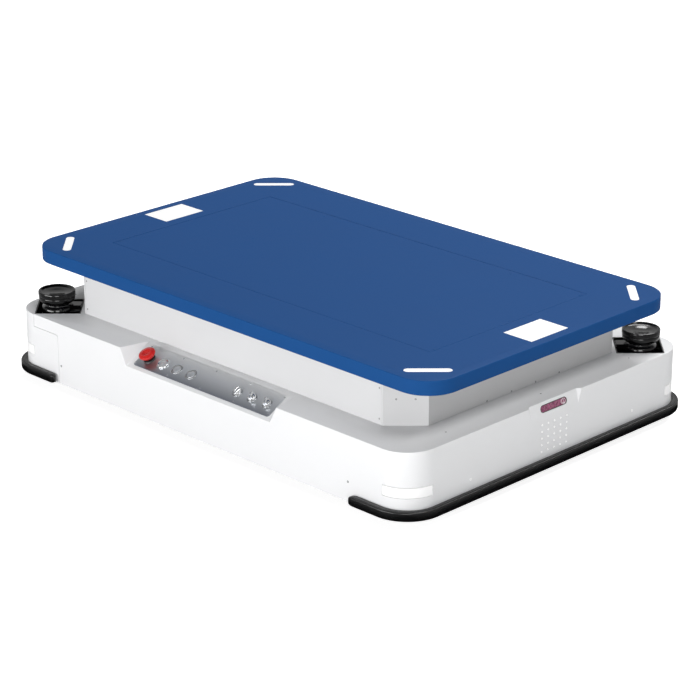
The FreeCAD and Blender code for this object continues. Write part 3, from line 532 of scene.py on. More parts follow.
def finishes(context):
    """Every finish of the robot by name."""
    c = context.scene.robot_colours
    return {
        "white": finish("White powder coat", c.white, 0.42, grain=700, depth=0.03, variation=0.012),
        # painted shade: a darker copy of the white powder coat
        "riser": finish("Grey powder coat", c.riser, 0.45, grain=700, depth=0.03, variation=0.012),
        "blue": finish("Deck paint", c.blue, 0.42, grain=600, depth=0.03, variation=0.05, specular=0.03),
        "rubber": finish("Bumper rubber", c.rubber, 0.24, grain=1100, variation=0.1, specular=0.45),
        "black": finish("Scanner housing", c.black, 0.13, grain=1400, depth=0.004, variation=0.1, specular=0.4),
        "black_gloss": finish("Scanner optics", (0.004, 0.004, 0.005), 0.08, coat=0.6, grain=300, depth=0.005),
        "tray": finish("Black sheet metal", (0.004, 0.004, 0.004), 0.3, grain=800, depth=0.01, variation=0.1,
                       specular=0.3),
        "steel": sloping_steel("Brushed panel steel", c.steel),
        "ring": finish("Satin ring steel", (0.40, 0.41, 0.42), 0.26, metallic=1.0, depth=0.004, variation=0.06),
        # painted highlight: this zinc glows, so the end screws read white under any light
        "painted_highlight_zinc": finish("Bright zinc", (0.95, 0.95, 0.95), 0.3, metallic=0.2, glow=0.6),
        "chrome": finish("Chrome", c.chrome, 0.10, metallic=1.0, grain=200, depth=0.002, variation=0.02),
        "satin": finish("Satin aluminium", (0.62, 0.63, 0.64), 0.32, metallic=1.0, brushed=(1300, 14, 1300),
                        depth=0.004, variation=0.06),
        "red": finish("Stop button red", c.red, 0.28, grain=500, depth=0.01, variation=0.05, specular=0.35),
        "dark": finish("Dark moulding", (0.016, 0.016, 0.017), 0.4, grain=1000, variation=0.1),
        "lens": finish("White diffuser", c.lens_white, 0.35, grain=400, depth=0.01, variation=0.01, glow=0.12),
        # the glow is the corner lights' own light, and painted light on the white end markers, which give none
        "inlay": finish("White deck inlay", c.lens_white, 0.45, grain=500, depth=0.01, variation=0.01, glow=0.2),
        "window": tinted_glass("Camera glass", c.window),
        "window_rim": finish("Window rim", (0.02, 0.035, 0.022), 0.3, grain=600, depth=0.01),
        "lens_ring": finish("Lens ring", (0.30, 0.11, 0.17), 0.3, grain=600, depth=0.01),
        # painted highlight: the pale lens rims glow
        "lens_rim": finish("Lens rim", (0.62, 0.52, 0.56), 0.3, grain=600, depth=0.01, glow=0.15),
        # painted light: the loudspeaker's mesh dots glow, though they give no light
        "dot": finish("White mesh dot", c.lens_white, 0.4, grain=400, depth=0.01, variation=0.01, glow=0.8),
        "screw": finish("Dark zinc screw", (0.16, 0.16, 0.165), 0.38, metallic=1.0, variation=0.1),
        "zinc": finish("Zinc plate", (0.55, 0.56, 0.57), 0.42, metallic=1.0, grain=120, depth=0.01, variation=0.2,
                       dust=0.12),
        "frame": finish("Black chassis paint", (0.016, 0.016, 0.017), 0.5, grain=500, depth=0.03, variation=0.1,
                        dust=0.08),
        "tyre": finish("Wheel tread", (0.022, 0.020, 0.019), 0.62, depth=0.05, variation=0.2, dust=0.1),
        "hub": finish("Cast wheel hub", (0.30, 0.30, 0.31), 0.5, metallic=0.8, grain=260, depth=0.06, variation=0.1),
        "battery": finish("Battery case", (0.030, 0.032, 0.036), 0.5, grain=700, depth=0.03, variation=0.1, dust=0.1),
    }


# ---------------------------------------------------------------- covers
def body_profile(sizes, inset, low, high, edge):
    """(distance, height) of the body's side: plain wall with a small round at the top."""
    radius = sizes.body_round - inset
    if not edge:
        return [(radius, low), (radius, high)]
    turn = np.linspace(0, np.pi / 2, 5)
    crown = [(radius - edge + edge * math.cos(t), high - edge + edge * math.sin(t)) for t in turn]
    return [(radius, low)] + crown


def body_loop(sizes):
    """The outline of the body, for carrying a profile round it."""
    return rounded_loop(SHELL_HIGH.x, -SHELL_LOW.y, sizes.body_round, 24)


def diagonal_box(sizes, grow, low, high):
    """The square well of a scanner across the diagonal of the front left corner."""
    shape = block(-sizes.pocket_end - grow, -sizes.pocket_start + grow, -sizes.pocket_half - grow,
                  sizes.pocket_half + grow, low, high)
    return at(shape, place(SHELL_HIGH.x, -SHELL_LOW.y, 0, 45))


def corner_sector(sizes, inner, outer, low, high, corner, trim=0.0, steps=16):
    """A quarter ring round one upright corner of the body, cut short by the trim at both ends."""
    start = trim / outer
    turn = np.linspace(start, np.pi / 2 - start, steps + 1)
    arc = np.stack([np.cos(turn), np.sin(turn)], axis=1)
    points = np.concatenate([arc * outer, arc[::-1] * inner])
    centre = np.array([SHELL_HIGH.x - sizes.body_round, -SHELL_LOW.y - sizes.body_round])
    return outline_prism((points + centre) * np.array(corner), low, high)


def rear_region(sizes, gap):
    """The stepped region of the rear cover, as a prism along Y with a rounded step."""
    x0, x1, x2 = SHELL_LOW.x - PAST, -sizes.seam_x + gap, -sizes.seam_low_x + gap
    z, r, half = sizes.seam_z + gap, 6 * MM, 0.6
    turn = np.linspace(np.pi / 2, 0, 7)
    outline = [(x0, SHELL_LOW.z - PAST), (x0, SHELL_HIGH.z + PAST), (x1, SHELL_HIGH.z + PAST), (x1, z)]
    outline += [(x2 - r + r * math.cos(t), z - r + r * math.sin(t)) for t in turn]
    outline += [(x2, SHELL_LOW.z - PAST)]
    return at(outline_prism(outline, -half, half), TO_SIDE)


def speaker_places(out):
    """The five by five grid of the loudspeaker's holes, facing out of the front end."""
    across, up = np.meshgrid(np.linspace(-41, 41, 5) * MM, np.linspace(64, 126.5, 5) * MM)
    return [place(SHELL_HIGH.x + out, y, z) @ TO_END for y, z in zip(across.flat, up.flat)]


class ROBOT_OT_body_covers(bpy.types.Operator):
    """White sheet covers of the lower body, with trough, wells, recess, seams and speaker holes"""
    bl_idname = "robot.body_covers"
    bl_label = "Body covers"

    def execute(self, context):
        s, look = context.scene.robot_sizes, finishes(context)
        low, high = SHELL_LOW.z, SHELL_HIGH.z
        loop = body_loop(s)
        outer = new_object("body_skin", carried(loop, body_profile(s, 0, low, high, s.edge)))
        hollow = new_object("hollow", carried(loop, body_profile(s, s.skin, low - PAST, high - s.skin, 0)))
        side, front = place(0, SHELL_LOW.y, high), place(SHELL_HIGH.x, 0, high, 90)
        for target, grow in ((outer, 0.0), (hollow, s.skin)):
            carve(target, at(wedge(s.trough_outer, s.trough_back, s.trough_tip, s.trough_run, s.trough_depth,
                                   grow), side))
            carve(target, at(wedge(s.recess_outer, s.recess_inner, s.recess_inner, s.recess_run, s.recess_depth,
                                   grow), front))
        boolean(outer, hollow)
        self.openings(outer, s, high)
        rear = outer.copy()
        rear.data = outer.data.copy()
        rear.name = "rear_skin"
        context.scene.collection.objects.link(rear)
        lip = block(-s.pocket_start, PAST, -s.pocket_half, s.pocket_half, high - s.skin, high + 2 * MM)
        lip = at(at(lip, place(SHELL_HIGH.x, -SHELL_LOW.y, 0, 45)), HALF_TURN)
        rear_wall = self.wall(s, s.skin, 0.0)
        carve(rear_wall, lip, "UNION")
        boolean(rear, rear_wall, "INTERSECT")
        boolean(outer, self.wall(s, s.skin + s.seam_gap, s.seam_gap))
        carve(outer, lip)
        for target, node_name in ((outer, "body_shell"), (rear, "rear_cover")):
            soften(target, 0.6 * MM)
            dress(target, "robot", look["white"], [node_name])
        return {"FINISHED"}

    def openings(self, outer, s, high):
        """Cuts the mouth under the riser, the scanner wells, the light strips, the window, the hatch behind the
        control panel and the loudspeaker's holes."""
        flange, mouth_leg = 12 * MM, 68.7 * MM
        carve(outer, outline_prism(chamfered_outline(RISER_HIGH.x - flange, RISER_HIGH.y - flange, mouth_leg),
                                   high - 2 * PAST, high + 2 * PAST))
        carve(outer, both_ends(diagonal_box(s, 0.0, high - 2 * PAST, high + 2 * PAST)))
        for corner in CORNERS:
            carve(outer, corner_sector(s, s.body_round - s.skin - 2 * MM, s.body_round + 2 * MM, s.strip_low,
                                       s.strip_high, corner))
        carve(outer, at(stadium(s.window_length, s.window_width, -8 * MM, 4 * MM), window_place(s)))
        hatch_half, hatch_foot, hatch_head = 214 * MM, 9 * MM, 58 * MM
        hatch = block(-hatch_half, hatch_half, s.panel_offset + hatch_foot, s.panel_offset + hatch_head, -9 * MM,
                      2 * MM)
        carve(outer, at(hatch, panel_place(s, 0, 0, 0)))
        drill = turned([(1.5, -6), (1.5, 2)], 12)
        carve(outer, joined([at(drill, spot) for spot in speaker_places(0.0)]))

    def wall(self, s, depth, gap):
        """The outer wall behind the seam, as a solid band."""
        margin = 4 * MM
        band = new_object("band", carried(body_loop(s), body_profile(s, -margin, SHELL_LOW.z - margin,
                                                                     SHELL_HIGH.z + margin, 0)))
        carve(band, carried(body_loop(s), body_profile(s, depth, SHELL_LOW.z - PAST, SHELL_HIGH.z + PAST, 0)))
        carve(band, rear_region(s, gap), "INTERSECT")
        return band


class ROBOT_OT_light_strips(bpy.types.Operator):
    """White diffusers set flush in the four upright corners of the body"""
    bl_idname = "robot.light_strips"
    bl_label = "Corner light strips"

    def execute(self, context):
        s, look = context.scene.robot_sizes, finishes(context)
        gap, thick, proud = 1.0 * MM, 6 * MM, 0.2 * MM
        strips = [corner_sector(s, s.body_round - thick, s.body_round + proud, s.strip_low + gap,
                                s.strip_high - gap, corner, gap, 24) for corner in CORNERS]
        strip = new_object("light_strip_lenses", joined(strips))
        soften(strip, 0.5 * MM)
        dress(strip, "robot", look["lens"], ["corner_light_strips"])
        return {"FINISHED"}


class ROBOT_OT_deck(bpy.types.Operator):
    """Blue load deck: a folded pan with pockets for the white inlays and the corner slots, and its cover sheet"""
    bl_idname = "robot.deck"
    bl_label = "Load deck"

    def execute(self, context):
        s, look = context.scene.robot_sizes, finishes(context)
        low, high, edge = DECK_LOW.z, DECK_HIGH.z, s.deck_edge
        loop = rounded_loop(DECK_HIGH.x, DECK_HIGH.y, s.deck_round, 28)
        turn = np.linspace(0, np.pi / 2, 5)
        radius = s.deck_round
        side = [(radius - edge + edge * math.sin(t), low + edge - edge * math.cos(t)) for t in turn]
        side += [(radius - edge + edge * math.cos(t), high - edge + edge * math.sin(t)) for t in turn]
        pan = new_object("deck_pan", carried(loop, side))
        skin, floor = 5 * MM, 3 * MM
        carve(pan, carried(loop, [(radius - skin, low + floor), (radius - skin, high - skin)]))
        well = chamfered_outline(RISER_HIGH.x - 48 * MM, RISER_HIGH.y - 48 * MM, 40 * MM)
        carve(pan, outline_prism(well, low - PAST, low + 2 * floor))
        x, y = COVER_HIGH.x + s.seam_gap, COVER_HIGH.y + s.seam_gap
        carve(pan, block(-x, x, -y, y, high - skin, high + PAST))
        ledge = 16 * MM
        carve(pan, block(-x + ledge, x - ledge, -y + ledge, y - ledge, low + floor, high + PAST))
        self.inlay_pockets(pan, high)
        dress(pan, "robot", look["blue"], ["deck_plate"])
        sheet = new_object("deck_cover_sheet", block(COVER_LOW.x, COVER_HIGH.x, COVER_LOW.y, COVER_HIGH.y,
                                                     COVER_LOW.z, COVER_HIGH.z))
        soften(sheet, 0.5 * MM)
        dress(sheet, "robot", look["blue"], ["deck_cover"])
        return {"FINISHED"}

    def inlay_pockets(self, pan, high):
        """Pockets for the white end markers and for the slots across the corners, each a little larger."""
        marker_low, marker_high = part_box("deck_end_markers")
        gap, depth, marker_length = 0.4 * MM, 2 * MM, 80.1 * MM
        for sign in (1, -1):
            x0, x1 = sorted((sign * (marker_high.x + gap), sign * (marker_high.x - marker_length - gap)))
            carve(pan, block(x0, x1, marker_low.y - gap, marker_high.y + gap, high - depth, high + PAST))
        slot_x, slot_y = 585.8 * MM, 337.1 * MM
        slot = stadium(102.7 * MM, 20 * MM, high - depth, high + PAST, 16)
        for sx, sy in CORNERS:
            carve(pan, at(slot, place(sx * slot_x, sy * slot_y, 0, -45 * sx * sy)))


# ---------------------------------------------------------------- bumpers
def bumper_profile(sizes):
    """(out, up) of the bumper's rubber: a flat back and top, a fine groove before the rounded upper edge, a flat
    nose and a small round at its foot."""
    foot, head, reach = sizes.bumper_foot, sizes.bumper_head, sizes.bumper_reach
    back, crown, toe = 4.3 * MM, 3.8 * MM, 5.0 * MM
    turn = np.linspace(0, np.pi / 2, 7)
    upper = [(reach - crown + crown * math.sin(t), head - crown + crown * math.cos(t)) for t in turn]
    lower = [(reach - toe + toe * math.cos(t), foot + toe - toe * math.sin(t)) for t in turn[::2]]
    start = reach - crown - 2.2 * MM
    groove = [(start, head), (start + 0.3 * MM, head - 1.4 * MM), (start + 1.3 * MM, head - 1.4 * MM),
              (start + 1.6 * MM, head)]
    return [(back, foot), (back, head - 0.8 * MM), (back + 0.8 * MM, head)] + groove + upper + lower


def bumper_path(sizes, start, steps=20):
    """Stations round the front end from the right side to the left, with outward directions."""
    cx, cy = SHELL_HIGH.x - sizes.body_round, -SHELL_LOW.y - sizes.body_round
    turn = np.linspace(-np.pi / 2, 0, steps + 1)
    first = np.stack([np.cos(turn), np.sin(turn)], axis=1)
    second = np.stack([np.cos(turn + np.pi / 2), np.sin(turn + np.pi / 2)], axis=1)
    directions = np.concatenate([[(0, -1)], first, second, [(0, 1)]])
    centres = np.concatenate([[(start, -cy)], np.tile((cx, -cy), (steps + 1, 1)),
                              np.tile((cx, cy), (steps + 1, 1)), [(start, cy)]])
    return centres + directions * sizes.body_round, directions


class ROBOT_OT_bumpers(bpy.types.Operator):
    """Grooved rubber bumpers round both ends, with rounded end caps"""
    bl_idname = "robot.bumpers"
    bl_label = "Bumpers"

    def execute(self, context):
        s, look = context.scene.robot_sizes, finishes(context)
        rubber, cap_length = look["rubber"], 11 * MM
        stations, directions = bumper_path(s, s.bumper_end + cap_length)
        path = (stations, directions, np.ones(len(stations)))
        front = swept(path, bumper_profile(s))
        piece("front_bumper_rubber", front, "robot", rubber, ["front_bumper"], 40)
        piece("rear_bumper_rubber", at(front, HALF_TURN), "robot", rubber, ["rear_bumper"], 40)
        low, back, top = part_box("bumper_rails")[0].z, 4 * MM, s.bumper_head - 2 * MM
        backing = swept(path, [(0.0, low), (back, low), (back, top), (0.0, top)])
        piece("bumper_backing", both_ends(backing), "robot", rubber, ["bumper_rails"])
        turn = np.linspace(0, np.pi / 2, 7)
        x, scale = s.bumper_end + cap_length * (1 - np.sin(turn)), 0.5 + 0.5 * np.cos(turn)
        caps = [swept((np.stack([x, np.full(len(x), side * -SHELL_LOW.y)], axis=1),
                       np.tile((0.0, float(side)), (len(x), 1)), scale), bumper_profile(s)) for side in (-1, 1)]
        piece("bumper_tips", both_ends(joined(caps)), "robot", rubber, ["bumper_end_caps"], 50)
        return {"FINISHED"}


# ---------------------------------------------------------------- controls
class ROBOT_OT_controls(bpy.types.Operator):
    """Stop button, pushbuttons, selector knobs and their bezels on the control panel"""
    bl_idname = "robot.controls"
    bl_label = "Controls"

    def execute(self, context):
        s, look = context.scene.robot_sizes, finishes(context)
        lefts = [panel_place(s, k * CONTROL_PITCH - CONTROL_END, s.device_row, PLATE) for k in range(4)]
        rights = [panel_place(s, CONTROL_END - k * CONTROL_PITCH, s.device_row, PLATE) for k in range(3)]
        head = turned([(0, 19.5), (9.2, 19.7), (10.2, 20.4), (11.6, 20.4), (12.5, 19.7), (17.6, 19.1), (19.4, 18.2),
                       (20.2, 16.9), (20.1, 15.6), (18.0, 12.2), (15.4, 9.2), (14.2, 8.1), (13.6, 7.6), (6.0, 7.6),
                       (0, 7.6)][::-1], 64)
        piece("stop_mushroom", at(head, lefts[0]), "estop_head", look["red"], ["estop_head"], 50)
        stem = turned([(0, -14), (4.9, -14), (4.9, 12), (0, 12)])
        piece("stop_shaft", at(stem, lefts[0]), "estop_stem", look["dark"], ["estop_stem"])
        self.rings(look, lefts, rights)
        self.buttons(look, lefts[1:])
        self.knobs(look, rights[::-1])
        return {"FINISHED"}

    def rings(self, look, lefts, rights):
        """The stop button's collar and the bezels: one raised, two flush and three narrow ones for the knobs."""
        collar = turned([(5.2, 0), (14.7, 0), (14.7, 1.4), (13.9, 2.4), (11.2, 2.6), (10.4, 2.0), (5.2, 2.0)],
                        64, True)
        raised = turned([(10.1, 0), (16.0, 0), (16.0, 1.6), (15.4, 3.2), (14.2, 4.3), (12.9, 4.5), (11.6, 4.2),
                         (10.9, 3.4), (10.1, 3.0)], 64, True)
        flush = turned([(10.1, 0), (14.7, 0), (14.7, 0.5), (14.2, 1.1), (13.3, 1.5), (12.2, 1.6), (11.3, 1.3),
                        (10.6, 0.9), (10.1, 0.8)], 64, True)
        knob_ring = turned([(10.1, 0), (12.6, 0), (12.6, 1.4), (12.0, 2.0), (11.0, 2.2), (10.1, 1.9)], 64, True)
        piece("stop_collar", at(collar, lefts[0]), "robot", look["dark"])
        piece("reset_ring", at(raised, lefts[1]), "robot", look["chrome"], (), 50)
        rings = [at(flush, spot) for spot in lefts[2:]] + [at(knob_ring, spot) for spot in rights]
        piece("control_rings", joined(rings), "robot", look["ring"], ["control_bezels"], 50)

    def buttons(self, look, spots):
        """The pushbuttons: one domed and two flat."""
        domed = turned([(0, -14), (9.9, -14), (9.9, 2.7), (9.2, 3.3), (7.4, 3.5), (6.9, 3.1), (4.0, 3.0), (3.6, 3.5),
                        (1.6, 3.7), (0, 3.75)], 48)
        flat = turned([(0, -14), (9.9, -14), (9.9, 0.9), (9.3, 1.45), (8.2, 1.5), (4.0, 1.25), (0, 1.15)], 48)
        kinds = (("reset_button", "button_blue", domed), ("start_button", "button_white", flat),
                 ("pause_button", "button_dark", flat))
        for (body, slot, shape), spot in zip(kinds, spots):
            piece(body + "_cap", at(shape, spot), body, look["steel"], [body], 50)

    def knobs(self, look, spots):
        """Selector knobs: a turned skirt with a waisted grip. At height h and length u along it, the grip's half
        width is (2.6 + 1.4 u^2) times a taper that falls off towards the head with the cube of h."""
        skirt = turned([(0, -14), (9.9, -14), (9.9, 6.2), (9.0, 7.0), (7.0, 7.4), (0, 7.4)], 48)
        along, rise = np.linspace(-8.8, 8.8, 15), np.linspace(6.6, 13.4, 9)
        u, h = np.meshgrid(along, rise)
        taper = np.sqrt(np.clip(1 - ((h - 6.6) / 7.0) ** 3, 0.02, 1))
        half = (2.6 + 1.4 * (u / 8.8) ** 2) * taper
        sheet = np.stack([half, u * (0.86 + 0.14 * taper), h], axis=2)
        other = sheet * np.array([-1, 1, 1])
        rows, columns = len(rise), 2 * len(along)
        ring = np.concatenate([sheet, other[:, ::-1]], axis=1).reshape(-1, 3) * MM
        grip = (ring, grid_faces(rows, columns) + end_faces(rows, columns))
        for body, turn, spot in zip(("mode_selector", "brake_selector", "power_selector"), (0, 35, 35), spots):
            where = spot @ Matrix.Rotation(math.radians(turn), 4, "Z")
            piece(body + "_knob", at(joined([skirt, grip]), where), body, look["chrome"], [body], 50)


# ---------------------------------------------------------------- scanners
class ROBOT_OT_scanners(bpy.types.Operator):
    """Laser scanners in two opposite corners: tray, housing with its plug, optics cover and dished head"""
    bl_idname = "robot.scanners"
    bl_label = "Corner scanners"

    def execute(self, context):
        s, look = context.scene.robot_sizes, finishes(context)
        centre = place(SHELL_HIGH.x - s.body_round, -SHELL_LOW.y - s.body_round, 0)
        tray_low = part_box("scanner_trays")[0].z
        gap, wall = 0.3 * MM, 2.5 * MM
        tray = new_object("scanner_wells", diagonal_box(s, -gap, tray_low, SHELL_HIGH.z - 0.2 * MM))
        carve(tray, diagonal_box(s, -gap - wall, tray_low + wall, SHELL_HIGH.z + PAST))
        twin = new_object("twin", at((np.array([v.co for v in tray.data.vertices]),
                                      [list(p.vertices) for p in tray.data.polygons]), HALF_TURN))
        with context.temp_override(active_object=tray, selected_editable_objects=[tray, twin]):
            bpy.ops.object.join()
        soften(tray, 0.4 * MM)
        dress(tray, "robot", look["tray"], ["scanner_trays"])

        seat = (tray_low + wall) / MM
        base = turned([(0, seat), (36, seat), (37, seat + 1), (37, 150), (36.2, 151), (36.2, 154), (37, 155),
                       (37, 178.4), (35.8, 180), (0, 180)], 72)
        diagonal = place(turn=45)  # X now runs out of the corner
        plug = at(rounded_box(28, 22, 4, seat, 172), diagonal @ place(-37 * MM))
        cap = at(rounded_box(14, 15, 3, 170, 184), diagonal @ place(-44 * MM))
        piece("scanner_bodies", both_ends(at(joined([base, plug, cap]), centre)), "robot",
              look["black"], ["scanner_housings"], 40)

        curve = np.linspace(0, 1, 13)
        outer = np.stack([29.2 + 6.6 * (2 * curve - 1) ** 2, 180.2 + 10.6 * curve], axis=1)
        inner = outer[::-1] - np.array([2.4, 0])
        optics = turned(np.concatenate([outer, inner]), 72, True)
        piece("scanner_lenses", both_ends(at(optics, centre)), "robot", look["black_gloss"],
              ["scanner_optics_covers"], 40)

        turn = np.linspace(0, 1, 9)
        belly = np.stack([36 + 7.2 * np.sin(turn * np.pi / 2), 191 + 13 * (1 - np.cos(turn * np.pi / 2))], axis=1)
        crown = [(43.2, 204.6), (42.6, 205.4), (42.6, 206.2), (43.4, 207), (44, 208), (44, 216.6), (43.2, 218.4),
                 (41.6, 219), (39.8, 218.6), (38.6, 217), (36.5, 214.8), (33, 213.9), (20, 213.6), (18.6, 213.0),
                 (0, 213.0)]
        head = turned(np.concatenate([[(0, 191)], belly, crown]), 96)
        piece("scanner_crowns", both_ends(at(head, centre)), "robot", look["black"],
              ["scanner_heads"], 40)
        return {"FINISHED"}


# ---------------------------------------------------------------- camera
class ROBOT_OT_camera(bpy.types.Operator):
    """Depth camera window: tinted glass in a dark rim, with lens rings behind it, pale rims and a glint that glow as
    painted highlights, and the loudspeaker's dots, which glow as painted light
    """
    bl_idname = "robot.camera_window"
    bl_label = "Camera window"

    def execute(self, context):
        s, look = context.scene.robot_sizes, finishes(context)
        window = window_place(s)

        def slot(less, low, high):
            """The window's slot made smaller all round, between two heights above its face, in millimetres."""
            less *= MM
            return at(stadium(s.window_length - less, s.window_width - less, low * MM, high * MM, 16), window)

        def behind(shape, x, y=0.0, z=-0.75):
            """A shape at a place of the window, in millimetres."""
            return at(shape, window @ Matrix.Translation((x * MM, y * MM, z * MM)))

        glass = new_object("camera_glass", slot(3.2, -3, -0.7))
        soften(glass, 0.4 * MM)
        dress(glass, "robot", look["window"], ["camera_window"])
        rim = new_object("camera_rim", slot(0.6, -3, -0.2))
        carve(rim, slot(3.4, -4, 1))
        soften(rim, 0.3 * MM)
        dress(rim, "robot", look["window_rim"])
        ring = turned([(4.4, 0), (5.2, 0), (5.2, 0.35), (4.4, 0.35)], 40, True)
        wide = turned([(5.3, 0), (6.4, 0), (6.4, 0.35), (5.3, 0.35)], 40, True)
        # painted glint: a small glowing disc beside the pale glowing rims at the window's right end
        painted_glint = turned([(0, 0), (2.2, 0), (2.0, 0.5), (0, 0.6)], 24)
        piece("camera_lens_rings", joined([behind(ring, x) for x in (-26, -8, 12)]), "robot",
              look["lens_ring"])
        piece("camera_lens_rims", joined([behind(ring, 29), behind(wide, 33), behind(painted_glint, 34, -4.6, -0.7)]),
              "robot", look["lens_rim"])
        # the dots glow through their finish as painted light
        dot = turned([(1.9, 0), (1.9, 2.2), (1.5, 2.45), (0.6, 2.6)], 16)
        piece("speaker_mesh_dots", joined([at(dot, spot) for spot in speaker_places(-2.9 * MM)]), "robot",
              look["dot"], (), 40)
        return {"FINISHED"}


# ---------------------------------------------------------------- screws
def screw(radius):
    """A countersunk screw in millimetres: a flat head with a turned recess, about Z."""
    return turned([(0, -0.9), (radius * 0.8, -0.9), (radius, -0.1), (radius, 0.1), (radius * 0.9, 0.22),
                   (radius * 0.5, 0.22), (radius * 0.42, -0.35), (0, -0.35)], 20)


class ROBOT_OT_screws(bpy.types.Operator):
    """Small screws of the covers, the riser, the deck cover and the control panel"""
    bl_idname = "robot.screws"
    bl_label = "Screws"

    def execute(self, context):
        s, look = context.scene.robot_sizes, finishes(context)
        side_y, end_x, panel_x = -SHELL_LOW.y, SHELL_HIGH.x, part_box("front_end_panel")[1].x
        small, medium = screw(2.0), screw(2.6)
        ends = [at(medium, place(end_x, y * MM, 71 * MM) @ TO_END) for y in (-270, 270)]
        spots = [at(medium, place(x * MM, -side_y, 71.5 * MM) @ TO_SIDE) for x in (-475.5, 475.5)]
        spots += [at(small, place(608 * MM, y * MM, SHELL_HIGH.z)) for y in (-304, 0, 304)]
        spots += [at(small, place(panel_x, y * MM, 180 * MM) @ TO_END) for y in (-120, -40, 40, 120)]
        spots += [at(small, place(x * MM, -RISER_HIGH.y, z * MM) @ TO_SIDE) for x in (-480, 480) for z in (190, 260)]
        for side in (-1, 1):  # on the middle of the riser's corner panels
            chamfer = place(524.35 * MM, side * 338.15 * MM, 237 * MM, 45 * side)
            spots += [at(small, chamfer @ Matrix.Translation((0, v * MM, 0)) @ TO_END) for v in (-20.5, 20.5)]
        # the end screws glow white as a painted highlight
        piece("end_screws", both_ends(joined(ends)), "robot", look["painted_highlight_zinc"], (), 50)
        piece("cover_screws", both_ends(joined(spots)), "robot", look["screw"], (), 50)
        flat = [at(medium, place(sx * x * MM, y * MM, DECK_HIGH.z)) for x in (305, 511) for sx in (-1, 1)
                for y in (-240, 0, 240)]
        piece("deck_cover_screws", joined(flat), "robot", look["blue"], (), 50)
        plate = [at(small, panel_place(s, u * MM, v * MM, PLATE)) for v in (15, 72)
                 for u in (-219, -110, 0, 110, 219)]
        piece("panel_screws", joined(plate), "robot", look["chrome"], (), 50)
        return {"FINISHED"}


# ---------------------------------------------------------------- underside
class ROBOT_OT_wheels(bpy.types.Operator):
    """Drive wheels with lugged treads, caster wheels with crowned treads and ribbed rubber buffers"""
    bl_idname = "robot.wheels"
    bl_label = "Wheels"

    def execute(self, context):
        look = finishes(context)
        for side, sign in (("right", -1), ("left", 1)):
            self.drive_wheel(look, side + "_drive_wheel", sign)
        profile = [(6.05, -17.9), (16, -17.9), (17, -15), (36, -15), (38, -17.9), (44, -17.9), (47.5, -16),
                   (49.2, -11), (50, 0), (49.2, 11), (47.5, 16), (44, 17.9), (38, 17.9), (36, 15), (17, 15),
                   (16, 17.9), (6.05, 17.9)]
        for corner in ("front_left", "front_right", "rear_left", "rear_right"):
            body = corner + "_caster_wheel"
            low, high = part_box(body)
            wheel = at(turned(profile, 72, True), Matrix.Translation((low + high) / 2) @ TO_SIDE)
            piece(body + "_tread", wheel, body, look["tyre"], [body], 40)
        for side in ("right", "left"):
            self.buffer(look, side)
        return {"FINISHED"}

    def drive_wheel(self, look, body, sign):
        """A tread with four grooves on a dished rim, with its shaft towards the middle of the robot."""
        low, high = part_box(body)
        radius, half, track_half = (high.z - low.z) / 2 / MM, 25.0, 325 * MM
        where = place(0, sign * track_half, radius * MM) @ TO_SIDE
        tread = [(radius - 20, -half), (radius - 3, -half), (radius, -half + 3)]
        for edge in (-18, -6, 6, 18):
            tread += [(radius, edge), (radius - 2, edge + 0.8), (radius - 2, edge + 2.2), (radius, edge + 3)]
        tread += [(radius, half - 3), (radius - 3, half), (radius - 20, half)]
        piece(body[:-5] + "tread", at(turned(tread, 96, True), where), body, look["tyre"], [body], 40)
        dish = [(0, 17), (24, 17), (28, 24), (34, 24), (38, 16), (66, 16), (70, 24), (79.8, 24.5)]
        rim = turned([(r, -h) for r, h in dish] + dish[::-1], 72)
        inward = Matrix.Rotation(math.pi if sign < 0 else 0.0, 4, "X")
        shaft = at(turned([(0, 0), (14.9, 0), (14.9, 62), (0, 62)], 48), inward)
        piece(body[:-5] + "rim", at(joined([rim, shaft]), where), body, look["hub"], (), 40)

    def buffer(self, look, side):
        """A rubber spring of three ribs, which bends between the robot and the drive's carrier: its radius swings
        with the cosine of the height."""
        low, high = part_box(side + "_suspension_buffer")
        middle, tall, wide = (low + high) / 2, (high.z - low.z) / MM, (high.x - low.x) / 2 / MM
        rise = np.linspace(0, 1, 33)
        radius = wide - 1.6 + 1.6 * np.cos(3 * 2 * np.pi * rise)
        radius[[0, -1]] -= 1.0
        outline = [(0, 0)] + list(zip(radius, tall * rise)) + [(0, tall)]
        rubber = at(turned(outline, 48), place(middle.x, middle.y, low.z))
        soft = piece(side + "_rubber_buffer", rubber, None, look["tyre"],
                     [side + "_suspension_buffer"], 40)
        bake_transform(soft)


class ROBOT_OT_finishes(bpy.types.Operator):
    """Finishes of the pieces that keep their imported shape"""
    bl_idname = "robot.finishes"
    bl_label = "Finishes"

    def execute(self, context):
        look = finishes(context)
        by_slot = {
            "white_shell": "white", "frame_steel": "frame", "frame_aluminium": "satin", "rail_aluminium": "satin",
            "deck_light": "inlay", "deck_marker": "inlay", "deck_blue": "blue", "panel_steel": "steel",
            "rotor_mirror": "chrome", "camera_body": "dark", "speaker_black": "dark", "battery_case": "battery",
            "computer_case": "frame", "zinc_steel": "zinc", "carrier_steel": "frame", "motor_dark": "frame",
        }
        riser = ("right_side_panel", "left_side_panel", "front_end_panel", "rear_end_panel", "riser_corner_panels")
        for part in frame["record"]["subparts"]:
            if part["material_slot"] in by_slot:
                mesh = frame["nodes"][part["node"]].data
                mesh.materials.clear()
                # the riser's panels take the darker copy of the white paint, a painted shade
                mesh.materials.append(look["riser" if part["node"] in riser else by_slot[part["material_slot"]]])
        return {"FINISHED"}


